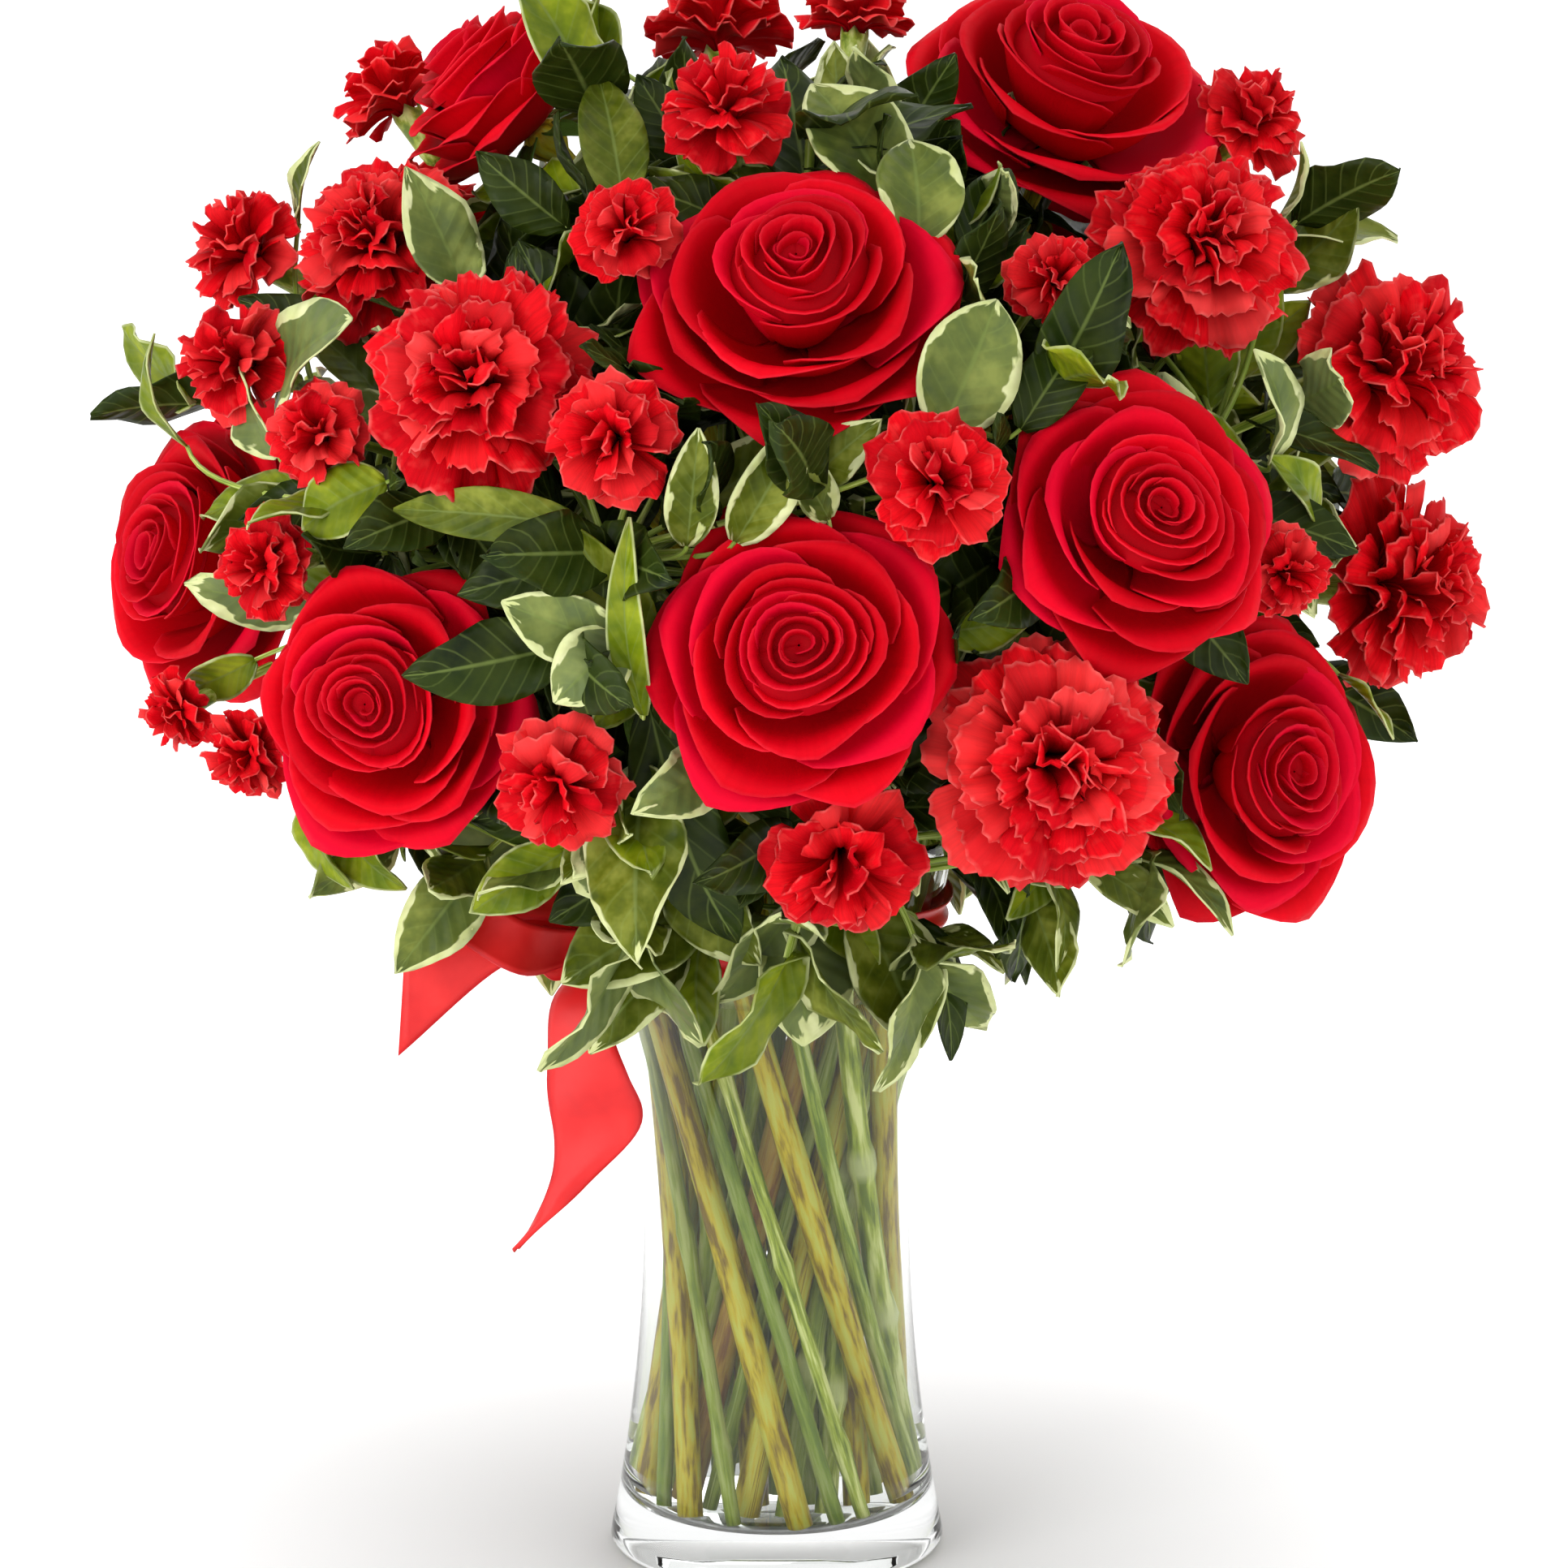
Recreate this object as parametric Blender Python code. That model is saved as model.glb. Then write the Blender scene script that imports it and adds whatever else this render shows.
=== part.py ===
"""A bouquet of roses and carnations in a clear glass vase, with a ribbon round its neck.

Driving dimensions are in millimetres and are turned into metres as each mesh is made.
+Z is up, the front faces -Y, and the origin is the centre of the vase's underside.
"""
import math
import random

import bmesh
import bpy
import numpy as np

MM = 0.001
GAP = 0.3

# Vase: a clear hourglass glass, with a thick base and a wide mouth
VASE_HEIGHT = 203.0
BASE_RADIUS = 46.7
WAIST_RADIUS = 36.5
WAIST_HEIGHT = 97.0
MOUTH_RADIUS = 50.0
GLASS_WALL = 3.0
GLASS_FLOOR = 12.0
WATER_TOP = 160.0

# Dome of blooms: the half-sizes and centre of an ellipsoid that the bloom centres lie near
DOME_CENTRE = np.array((3.0, 0.0, 282.0))
DOME_HALF = np.array((152.0, 140.0, 126.0))

# Each row: azimuth from the front and elevation on the dome in degrees, reach from its
# centre (1 is on the dome), width of the bloom, then the azimuth and elevation it faces
ROSES = {
    "rose_01": (-98, 61, 1.11, 69, -84, 46),
    "rose_02": (97, 63, 1.12, 86, 22, 55),
    "rose_03": (1, 42, 0.99, 82, 0, 46),
    "rose_04": (36, 11, 1.03, 72, 20, 24),
    "rose_05": (1, -2, 1.00, 76, 0, 18),
    "rose_06": (-90, -2, 1.07, 75, -52, 14),
    "rose_07": (-44, -12, 1.01, 72, -20, 12),
    "rose_08": (67, -25, 1.01, 78, 34, 8),
    "rose_09": (150, 10, 1.00, 80, 150, 14),
    "rose_10": (-148, 7, 1.00, 80, -146, 10),
    "rose_11": (178, 43, 0.99, 84, 178, 46),
    "rose_12": (125, 33, 1.00, 80, 122, 38),
}
CARNATIONS = {
    "carnation_01": (-36, 27, 0.98, 64, -18, 24),
    "carnation_02": (69, 41, 1.00, 62, 24, 36),
    "carnation_03": (27, -17, 1.01, 68, 14, 4),
    "carnation_04": (88, 19, 1.12, 61, 52, 20),
    "carnation_05": (92, -6, 1.10, 63, 58, 4),
    "carnation_06": (-75, 42, 0.98, 52, -36, 38),
    "carnation_07": (180, -17, 1.00, 66, 180, -4),
    "carnation_08": (-124, 32, 1.01, 66, -124, 34),
    "carnation_09": (128, -12, 1.02, 64, 128, -4),
}
# Sprays of small carnations; each head's row ends with its width
SPRAY_CARNATIONS = {
    "spray_carnation_1": ((-90, 33, 1.15, 37), (-114, 50, 1.21, 36), (-75, 23, 1.08, 36)),
    "spray_carnation_2": ((-60, 2, 1.03, 31), (-56, 18, 1.01, 31), (-74, -16, 1.15, 24),
                          (-67, -21, 1.09, 28)),
    "spray_carnation_3": ((-17, 21, 1.04, 36), (-22, 46, 1.04, 30), (-15, 67, 1.05, 37)),
    "spray_carnation_4": ((14, 16, 1.05, 38), (36, 40, 0.99, 28), (55, 2, 1.03, 27)),
    "spray_carnation_5": ((-23, -19, 1.03, 38), (6, -30, 1.01, 46)),
    "spray_carnation_6": ((-164, 66, 1.16, 42), (157, 74, 1.15, 33), (96, 47, 1.22, 34)),
    "spray_carnation_7": ((178, 12, 1.04, 38), (-152, -24, 1.00, 36), (150, -22, 1.00, 36),
                          (-118, -8, 1.04, 38)),
}
# Sprays of leaves; each tuft's row ends with its number of leaves and their length
GREENS = {
    "pittosporum_1": ((-29, -53, 0.95, 4, 42), (-52, -42, 0.90, 3, 36), (-18, -24, 0.84, 1, 52)),
    "pittosporum_2": ((0, -55, 0.95, 4, 40), (44, -48, 0.88, 3, 36), (25, -56, 0.95, 4, 40),
                      (54, -38, 0.94, 3, 38)),
    "pittosporum_3": ((-56, 10, 0.90, 2, 34), (-80, 28, 0.91, 1, 30), (-100, 14, 1.11, 2, 34),
                      (-72, -38, 0.92, 2, 34)),
    "pittosporum_4": ((-20, 8, 0.92, 3, 40), (2, 18, 0.94, 3, 36), (-24, -4, 0.92, 2, 38)),
    "pittosporum_5": ((6, 68, 0.97, 3, 46), (-60, 68, 1.02, 2, 44), (32, 28, 0.94, 2, 42),
                      (-150, 62, 0.96, 2, 36)),
    "pittosporum_6": ((72, 20, 1.00, 2, 38), (91, 37, 1.12, 2, 38), (104, -20, 1.04, 2, 34),
                      (100, 4, 0.98, 2, 34)),
    "pittosporum_7": ((-125, -22, 0.96, 3, 38), (-170, -36, 0.94, 3, 38), (-118, 12, 0.98, 2, 36)),
    "pittosporum_8": ((156, 31, 0.98, 2, 38), (165, -36, 0.94, 2, 38), (124, 9, 0.95, 2, 36),
                      (-150, 28, 0.98, 2, 38)),
}
# How the stems stand in the water: rings of straight stems that lean round the axis.
# Each ring: radius at the foot and at the top, lean round the axis in degrees, azimuth
# of the first stem's top, and the stems in order
STEM_RINGS = (
    (33.5, 34.0, -85.0, -170.0, (
        "rose_10", "pittosporum_7", "rose_06", "spray_carnation_2", "rose_07", "pittosporum_1",
        "spray_carnation_5", "rose_05", "pittosporum_2", "carnation_03", "rose_08",
        "pittosporum_6", "carnation_05", "carnation_09", "rose_09", "carnation_07")),
    (24.0, 24.0, 95.0, -105.0, (
        "carnation_08", "spray_carnation_1", "pittosporum_3", "carnation_01",
        "spray_carnation_3", "rose_03", "spray_carnation_4", "rose_04", "carnation_02",
        "carnation_04", "rose_12", "pittosporum_8", "rose_11", "spray_carnation_7")),
    (12.5, 12.5, -90.0, -115.0, (
        "rose_01", "carnation_06", "pittosporum_4", "rose_02", "spray_carnation_6")),
    (0.0, 0.0, 0.0, 0.0, ("pittosporum_5",)),
)
STEM_FOOT = 13.6
STEM_STRAIGHT = 165.0

# Ribbon: a band tied round the neck, and a bow at the front left. Each strip of the bow
# is given by points along its two edges
BAND_LOW = 170.0
BAND_HIGH = 185.0
BAND_THICK = 2.0
KNOT = (-45.6, -28.0, 178.0)
LOOP = (((-47, -27, 183), (-60, -28, 202), (-74, -33, 203), (-84, -43, 199), (-78, -53, 196),
         (-64, -54, 188), (-49, -34, 181)),
        ((-47, -33, 177), (-60, -42, 186), (-75, -47, 187), (-86, -55, 188), (-80, -61, 183),
         (-66, -59, 175), (-50, -36, 174)))
TAIL_ONE = (((-48, -30, 182), (-64, -40, 188), (-85, -46, 191), (-98, -50, 182)),
            ((-48, -34, 175), (-58, -44, 170), (-71, -50, 176), (-100, -54, 152)))
TAIL_TWO = (((-50, -34, 176), (-59, -42, 164), (-61, -50, 146), (-59, -53, 129), (-61, -55, 114),
             (-70, -57, 99)),
            ((-46, -37, 174), (-45, -52, 162), (-39, -55, 147), (-36, -56, 133), (-51, -57, 117),
             (-68, -58, 100)))

# Shapes that the layout needs
ROSE_HIP = 13.0
LEAF_CLEARANCE = 1.5

# Stems and twigs
ROSE_STEM = 2.7
CARNATION_STEM = 2.2
SPRAY_STEM = 2.0
GREEN_STEM = 2.2
FOOT_SHARE = 1.35
# The outer ring's stems stray a little from even places: seed, and degrees at foot and top
SWAY_SEED = 226
SWAY_FOOT = 9.0
SWAY_TOP = 7.0
SWAY_RING = 30.0
BRANCH = 1.3
CLEARANCE = 1.6
BRANCH_STARTS = (0.42, 0.54, 0.66)
BRANCH_OUTWARD = 0.8
STEM_STEPS = 5
BRANCH_STEPS = 4
STEM_PULL = 90.0

# Ways to bend a stem, tried in turn: sideways, and the pull at its start and at its end
BENDS = (0, 8, -8, 16, -16, 26, -26, 38, -38)
START_BEND = 0.6
CLIMBS = (0.4, 0.55, 0.75, 0.25, 1.0)
REACHES = (0.35, 0.2, 0.5, 0.7)

# Blooms at full size, in their own frame: they sit at the origin and open along +Z
ROSE_WIDTH = 78.0
ROSE_MIDDLE = 22.0
CARNATION_WIDTH = 66.0
CARNATION_MIDDLE = 15.0
SMALL_WIDTH = 34.0
SMALL_MIDDLE = 9.0
CALYX = 25.0
CALYX_RADIUS = 6.3
SMALL_CALYX = 14.0
SPINS = {"rose": 47.0, "carnation": 47.0, "small": 31.0}

# Small heads further forward than the reach, in mm, turn their faces a little to the front
FRONT_REACH = 35.0
FRONT_PULL = 0.55

# Spheres that stand for each bloom when room is looked for: how many in a ring, the ring's
# radius and height, and their own radius, at full size
ROSE_SPHERES = ((12, 30.0, 16.0, 9.5), (8, 17.0, 21.0, 12.0), (1, 0.0, 16.0, 13.0))
CARNATION_SPHERES = ((10, 23.0, 15.0, 11.0), (6, 10.0, 22.0, 12.0))
SMALL_SPHERES = ((6, 8.0, 9.0, 9.5), (1, 0.0, -6.0, 5.0))
NECK_LEVELS = (166, 172, 178, 184, 190, 196, 202)
NECK_SPHERES = 72
NECK_SPHERE = 2.4
BOW_SHARES = (0.0, 0.25, 0.5, 0.75, 1.0)
BOW_STEPS = 18
BOW_SPHERE = 3.5
KNOT_SPHERE = 9.0
FAR = 40.0

# Leaf blade: its width and its curves as shares of its length
LEAF_WIDTH = 0.46
LEAF_ARCH = 0.16
LEAF_FOLD = 0.10
LEAF_WAVE = 0.045
LEAF_SHOULDER = 0.85
LEAF_ROUND = 0.8
GOLDEN_TURN = 137.5
LEAF_SEED = 7
LEAF_TRIES = 60
FIRST_LEAF = 0.985
LEAF_STEP = 0.035
LEAF_SPHERE = 1.5
LEAF_GRID = ((0.3, -0.9), (0.3, 0), (0.3, 0.9), (0.45, -0.9), (0.45, 0), (0.45, 0.9),
             (0.6, -0.9), (0.6, 0), (0.6, 0.9), (0.75, -0.9), (0.75, 0), (0.75, 0.9),
             (0.88, -0.7), (0.88, 0.7), (1.0, 0))


def unit(vector):
    """The vector at length one."""
    return vector / np.linalg.norm(vector)


def heading(azimuth, elevation):
    """The direction for an azimuth from the front (-Y) and an elevation, in degrees."""
    a = math.radians(azimuth)
    e = math.radians(elevation)
    return np.array((math.sin(a) * math.cos(e), -math.cos(a) * math.cos(e), math.sin(e)))


def on_dome(azimuth, elevation, reach=1.0):
    """A point of the dome; a reach under 1 is inside it."""
    return DOME_CENTRE + DOME_HALF * heading(azimuth, elevation) * reach


def dome_normal(point):
    """The dome's outward direction at a point."""
    return unit((point - DOME_CENTRE) / DOME_HALF ** 2)


def vase_radius(z):
    """Outer radius of the glass at a height: two parabolas that meet at the waist."""
    if z < WAIST_HEIGHT:
        return WAIST_RADIUS + (BASE_RADIUS - WAIST_RADIUS) * (1 - z / WAIST_HEIGHT) ** 2
    rise = (z - WAIST_HEIGHT) / (VASE_HEIGHT - WAIST_HEIGHT)
    return WAIST_RADIUS + (MOUTH_RADIUS - WAIST_RADIUS) * rise ** 2


def frame_of(axis, spin=0.0):
    """A 3x3 array whose rows are two sideways directions and the axis itself."""
    side = np.cross(axis, (0.0, 0.0, 1.0))
    if np.linalg.norm(side) < 0.01:
        side = np.array((1.0, 0.0, 0.0))
    side = unit(side)
    other = np.cross(axis, side)
    a = math.radians(spin)
    turned = side * math.cos(a) + other * math.sin(a)
    return np.array((turned, np.cross(axis, turned), axis))


def bezier(controls, count):
    """Points along a cubic curve, with its ends."""
    t = np.linspace(0.0, 1.0, count)[:, None]
    a, b, c, d = controls
    return (1 - t) ** 3 * a + 3 * t * (1 - t) ** 2 * b + 3 * t ** 2 * (1 - t) * c + t ** 3 * d


def route_samples(controls, steps):
    """Points along the smooth curve and along its faceted version."""
    corners = bezier(controls, steps)
    straight = [corners[:-1] + (corners[1:] - corners[:-1]) * share for share in (0.25, 0.5, 0.75)]
    return np.vstack((bezier(controls, 30), *straight))


def nearest_on(points, place):
    """The nearest point of a path made of straight stretches."""
    best = points[-1]
    for a, b in zip(points, points[1:]):
        share = np.dot(place - a, b - a) / np.dot(b - a, b - a)
        here = a + (b - a) * min(max(share, 0.0), 1.0)
        if np.linalg.norm(place - here) < np.linalg.norm(place - best):
            best = here
    return best


def bezier_heading(controls, t):
    """The direction of a cubic curve at a share of its way."""
    a, b, c, d = controls
    return unit((1 - t) ** 2 * (b - a) + 2 * t * (1 - t) * (c - b) + t ** 2 * (d - c))


class Crowd:
    """Spheres that stand for what is already placed, so that what comes next keeps clear."""

    def __init__(self):
        self.centres = np.zeros((0, 3))
        self.radii = np.zeros(0)
        self.owners = np.zeros(0, dtype=int)
        self.names = []

    def number(self, owner):
        if owner not in self.names:
            self.names.append(owner)
        return self.names.index(owner)

    def add(self, owner, centres, radius):
        centres = np.atleast_2d(centres)
        self.centres = np.vstack((self.centres, centres))
        self.radii = np.append(self.radii, np.full(len(centres), radius))
        self.owners = np.append(self.owners, np.full(len(centres), self.number(owner)))

    def gap(self, owner, centres, radius):
        """The smallest gap between spheres at the centres and those of other owners."""
        low = centres.min(axis=0) - FAR
        high = centres.max(axis=0) + FAR
        near = np.all((self.centres > low) & (self.centres < high), axis=1)
        near &= self.owners != self.number(owner)
        if not near.any():
            return FAR
        away = np.linalg.norm(self.centres[near][None, :, :] - centres[:, None, :], axis=2)
        return float((away - self.radii[near][None, :]).min()) - radius


def ring_of_points(base, axes, radius, height, count):
    """Points on a circle round an axis, at a height along it."""
    turns = np.arange(count) * 2 * math.pi / count
    across = np.outer(np.cos(turns), axes[0]) + np.outer(np.sin(turns), axes[1])
    return base + across * radius + axes[2] * height


def add_bloom(crowd, name, bloom, spheres):
    """Stand the spheres of a bloom in the crowd."""
    base, axes, size = bloom
    for count, radius, height, ball in spheres:
        ring = ring_of_points(base, axes, radius * size, height * size, count)
        crowd.add(name, ring, ball * size)


def place_blooms(crowd):
    """Where each bloom's base is, its axes and its scale, by the flower's name."""
    blooms = {}
    for kind, rows, width, middle, spheres in (
            ("rose", ROSES, ROSE_WIDTH, ROSE_MIDDLE, ROSE_SPHERES),
            ("carnation", CARNATIONS, CARNATION_WIDTH, CARNATION_MIDDLE, CARNATION_SPHERES)):
        for k, (name, row) in enumerate(rows.items()):
            size = row[3] / width
            axes = frame_of(heading(row[4], row[5]), k * SPINS[kind])
            base = on_dome(*row[:3]) - axes[2] * middle * size
            blooms[name] = (base, axes, size)
            add_bloom(crowd, name, blooms[name], spheres)
            if kind == "carnation":
                calyx = base - np.outer(np.arange(1, 6) * CALYX / 5, axes[2])
                crowd.add(name, calyx, CALYX_RADIUS)
    return blooms


def place_small_heads(crowd):
    """The heads of each spray: base, axes and scale."""
    heads = {}
    for name, rows in SPRAY_CARNATIONS.items():
        heads[name] = []
        for k, row in enumerate(rows):
            middle = on_dome(*row[:3])
            facing = dome_normal(middle)
            if middle[1] < FRONT_REACH:
                facing = unit(facing - (0.0, FRONT_PULL, 0.0))
            axes = frame_of(facing, k * SPINS["small"])
            size = row[3] / SMALL_WIDTH
            head = (middle - axes[2] * SMALL_MIDDLE * size, axes, size)
            heads[name].append(head)
            add_bloom(crowd, name, head, SMALL_SPHERES)
    return heads


def place_glass(crowd):
    """Stand spheres for the neck of the glass, which stems pass inside and leaves outside."""
    level = frame_of(np.array((0.0, 0.0, 1.0)))
    rings = [(vase_radius(z) - GLASS_WALL / 2, z) for z in NECK_LEVELS]
    rings += [(vase_radius(z) + BAND_THICK / 2, z) for z in (BAND_LOW, BAND_HIGH)]
    for radius, z in rings:
        ring = ring_of_points(np.zeros(3), level, radius, z, NECK_SPHERES)
        crowd.add("vase", ring, NECK_SPHERE)


def place_bow(crowd):
    """Stand spheres for the bow and its tails."""
    for rail_a, rail_b in (LOOP, TAIL_ONE, TAIL_TWO):
        first = smooth_route(rail_a, BOW_STEPS)
        second = smooth_route(rail_b, BOW_STEPS)
        for share in BOW_SHARES:
            crowd.add("ribbon", first + (second - first) * share, BOW_SPHERE)
    crowd.add("ribbon", np.array(KNOT), KNOT_SPHERE)


def smooth_route(points, count):
    """A smooth curve through a few points, read at even steps."""
    points = np.array(points, dtype=float)
    ends = np.vstack((2 * points[0] - points[1], points, 2 * points[-1] - points[-2]))
    result = []
    for share in np.linspace(0.0, len(points) - 1.0, count):
        k = min(int(share), len(points) - 2)
        t = share - k
        a, b, c, d = ends[k:k + 4]
        result.append(0.5 * (2 * b + (c - a) * t + (2 * a - 5 * b + 4 * c - d) * t ** 2
                             + (3 * b - a - 3 * c + d) * t ** 3))
    return np.array(result)


def stem_lines():
    """The straight stretch of each stem in the vase: its foot and its top."""
    lines = {}
    draw = random.Random(SWAY_SEED)
    for foot_radius, top_radius, lean, first, names in STEM_RINGS:
        strays = foot_radius > SWAY_RING
        for k, name in enumerate(names):
            azimuth = first + k * 360.0 / len(names)
            top_turn = azimuth + strays * draw.uniform(-SWAY_TOP, SWAY_TOP)
            foot_turn = azimuth - lean + strays * draw.uniform(-SWAY_FOOT, SWAY_FOOT)
            foot = heading(foot_turn, 0) * foot_radius
            top = heading(top_turn, 0) * top_radius
            lines[name] = (foot + (0, 0, STEM_FOOT), top + (0, 0, STEM_STRAIGHT))
    return lines


def clear_route(crowd, name, start, leave, end, arrive, radius, steps, least=0.0):
    """Controls of a curve that keeps clear of the crowd: the straightest that does."""
    span = max(float(np.linalg.norm(end - start)), least)
    side = frame_of(unit(end - start))[0]
    best = None
    best_gap = -math.inf
    for bend in BENDS:
        for climb in CLIMBS:
            for reach in REACHES:
                controls = (start, start + leave * climb * span + side * bend * START_BEND,
                            end - arrive * reach * span + side * bend, end)
                gap = crowd.gap(name, route_samples(controls, steps), radius)
                if gap > CLEARANCE:
                    return controls
                if gap > best_gap:
                    best = controls
                    best_gap = gap
    return best


def route_stems(crowd, blooms, heads):
    """The curve of each main stem from the top of its straight stretch to what it holds."""
    lines = stem_lines()
    for name, (foot, top) in lines.items():
        steps = np.linspace(0.0, 1.0, 50)[:, None]
        crowd.add(name, foot + (top - foot) * steps, foot_size(name))
    routes = {}
    for ring in STEM_RINGS:
        for name in ring[4]:
            foot, top = lines[name]
            if name in blooms:
                base, axes, size = blooms[name]
                arrive = axes[2]
                end = base - arrive * stem_top(name)
            elif name in heads:
                base, axes, size = heads[name][0]
                arrive = axes[2]
                end = base - arrive * SMALL_CALYX * size
            else:
                end = on_dome(*GREENS[name][0][:3])
                arrive = dome_normal(end)
            radius = stem_radius(name)
            routes[name] = clear_route(crowd, name, top, unit(top - foot), end, arrive, radius,
                                       STEM_STEPS, STEM_PULL)
            crowd.add(name, route_samples(routes[name], STEM_STEPS), radius)
            crowd.add(name, bezier(routes[name], 60), radius)
    return lines, routes


def stem_radius(name):
    """The stem's radius for the kind of plant."""
    if name.startswith("rose"):
        return ROSE_STEM
    if name.startswith("carnation"):
        return CARNATION_STEM
    if name.startswith("spray"):
        return SPRAY_STEM
    return GREEN_STEM


def foot_size(name):
    """The stem's radius in the water: roses and carnations are stouter there."""
    if name.startswith(("rose", "carnation")):
        return stem_radius(name) * FOOT_SHARE
    return stem_radius(name)


def stem_top(name):
    """How far below the bloom's base the bare stem ends: under the hip or the calyx."""
    return CALYX if name.startswith("carnation") else ROSE_HIP


def route_branches(crowd, heads, routes):
    """The side branches of every spray, each with the place that it leaves the stem from."""
    branches = {}
    for name, rows in list(SPRAY_CARNATIONS.items()) + list(GREENS.items()):
        branches[name] = []
        main = routes[name]
        for k, row in enumerate(rows[1:]):
            if name in heads:
                base, axes, size = heads[name][k + 1]
                arrive = axes[2]
                end = base - arrive * SMALL_CALYX * size
            else:
                end = on_dome(*row[:3])
                arrive = dome_normal(end)
            share = BRANCH_STARTS[k]
            start = nearest_on(bezier(main, STEM_STEPS), bezier(main, 101)[int(share * 100)])
            leave = unit(bezier_heading(main, share) + unit(end - start) * BRANCH_OUTWARD)
            controls = clear_route(crowd, name, start, leave, end, arrive, BRANCH, BRANCH_STEPS)
            crowd.add(name, route_samples(controls, BRANCH_STEPS), BRANCH)
            branches[name].append(controls)
    return branches


def leaf_point(u, v, length, phase):
    """A point of a blade lying along +X, at u from root to tip and v from edge to edge."""
    width = LEAF_WIDTH * length / 2 * math.sin(math.pi * min(1.0, u) ** LEAF_SHOULDER) ** LEAF_ROUND
    waves = 3.0 if v > 0 else 3.6
    lift = LEAF_ARCH * (u - 1.6 * u * u) + LEAF_FOLD * abs(v) * (1 - u)
    lift += LEAF_WAVE * v * v * math.sin(waves * math.pi * u + phase)
    return np.array((u * length, v * width, lift * length))


def leaf_frame(root, axis, turn, tilt):
    """Rows: along the leaf, across it and up from its face, and the root."""
    sideways = frame_of(axis, turn)[0]
    t = math.radians(tilt)
    along = axis * math.cos(t) + sideways * math.sin(t)
    across = np.cross(axis, sideways)
    up = np.cross(along, across)
    if np.dot(up, axis) < 0:
        across = -across
        up = -up
    return np.array((along, across, up)), root


def leaf_samples(frame, length, phase):
    """Points over the blade, past its stalk, for the crowd."""
    axes, root = frame
    return np.array([root + leaf_point(u, v, length, phase) @ axes for u, v in LEAF_GRID])


def place_leaves(crowd, routes, branches):
    """The leaves of each green spray that find room: frame, length and wave phase."""
    leaves = {}
    for number, (name, rows) in enumerate(GREENS.items()):
        draw = random.Random(LEAF_SEED + number)
        leaves[name] = []
        for row, twig in zip(rows, [routes[name]] + branches[name]):
            for k in range(row[3]):
                leaf = find_leaf(crowd, name, twig, row[4], k, draw)
                if leaf is not None:
                    leaves[name].append(leaf)
    return leaves


def find_leaf(crowd, name, twig, full_length, k, draw):
    """The first place round the twig's end where the twig's kth leaf clears what stands there."""
    back = FIRST_LEAF - LEAF_STEP * k
    root = bezier(twig, 201)[int(back * 200)]
    axis = bezier_heading(twig, back)
    for attempt in range(LEAF_TRIES):
        turn = k * GOLDEN_TURN + draw.uniform(-30, 30) + attempt * 25
        tilt = draw.uniform(20, 70) if k else draw.uniform(5, 50)
        length = full_length * (1.0 - 0.35 * attempt / LEAF_TRIES) * draw.uniform(0.92, 1.08)
        phase = draw.uniform(0, 2 * math.pi)
        frame = leaf_frame(root, axis, turn, tilt)
        samples = leaf_samples(frame, length, phase)
        if crowd.gap(name, samples, LEAF_SPHERE / 3) > LEAF_CLEARANCE:
            crowd.add(name + " leaf", samples, LEAF_SPHERE)
            return frame, length, phase
    return None


def lay_out():
    """Everything's place, each found clear of what came before."""
    crowd = Crowd()
    place_glass(crowd)
    place_bow(crowd)
    blooms = place_blooms(crowd)
    heads = place_small_heads(crowd)
    lines, routes = route_stems(crowd, blooms, heads)
    branches = route_branches(crowd, heads, routes)
    leaves = place_leaves(crowd, routes, branches)
    return blooms, heads, lines, routes, branches, leaves

# Faceting
SLIVER = 0.01
FLAT_ANGLE = 0.002
ROSE_SIDES = 15
CARNATION_SIDES = 16
SMALL_SIDES = 10
STEM_SIDES = 5
TWIG_SIDES = 4
GLASS_SIDES = 24
HOLE_ROOM = 0.45
HOLE_PAST_FOOT = 5.0
HOLE_PAST_TOP = 2.0
JOINT_SWELLING = 1.5
LEAF_THICK = 0.8
RIBBON_THICK = 0.8
KNOT_SIZE = (8.5, 8.5, 9.5)
OUTER_LEVELS = (0.0, 22.0, 50.0, 97.0, 142.0, 178.0, VASE_HEIGHT)
INNER_LEVELS = (VASE_HEIGHT, 178.0, 142.0, 97.0, 50.0, 20.0)
FLOOR_CORNER = 3.5

# Hip and sepals of a rose, calyx of a carnation, neck of a small head: radii and heights
HIP_RING = (6.5, -6.0)
SEPAL_TIP = (17.0, -2.5)
SEPAL_GAP = (6.5, -3.0)
CALYX_FOOT = (5.2, 3.0)
CALYX_RIM = -1.5
GREEN_TOP = 5.0
SMALL_NECK = (3.6, -5.0)
LEAF_STATIONS = (0.0, 0.36, 0.7, 1.0)

# Rose tiers: petals, turn, rim radius and height, notch and droop, valley radius and height
ROSE_BOTTOM = (4.5, 28.0, 9.0)
ROSE_TIERS = (
    (5, 0.00, 39.0, 15.0, 0.17, 4.5, 27.0, 12.5),
    (5, 0.45, 32.0, 24.0, 0.15, 2.0, 20.0, 17.0),
    (5, 0.15, 23.5, 31.0, 0.15, 0.5, 13.0, 22.0),
)
ROSE_BUD = (3, 0.3, 11.0, 35.0, 0.22, -1.5)
ROSE_EYE = 26.0

# Carnation tiers: rim radius and height, how far the frill goes in and out and up and down,
# valley radius and height
CARNATION_BOTTOM = 5.0
CARNATION_TIERS = (
    (31.5, 9.0, 5.6, 4.0, 17.5, 11.0),
    (28.5, 19.0, 5.6, 4.5, 13.5, 17.0),
    (20.5, 27.5, 5.0, 4.5, 8.0, 21.0),
)
CARNATION_TOP = (10.5, 32.5, 5.0, 3.5)
CARNATION_EYE = 25.0

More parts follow.
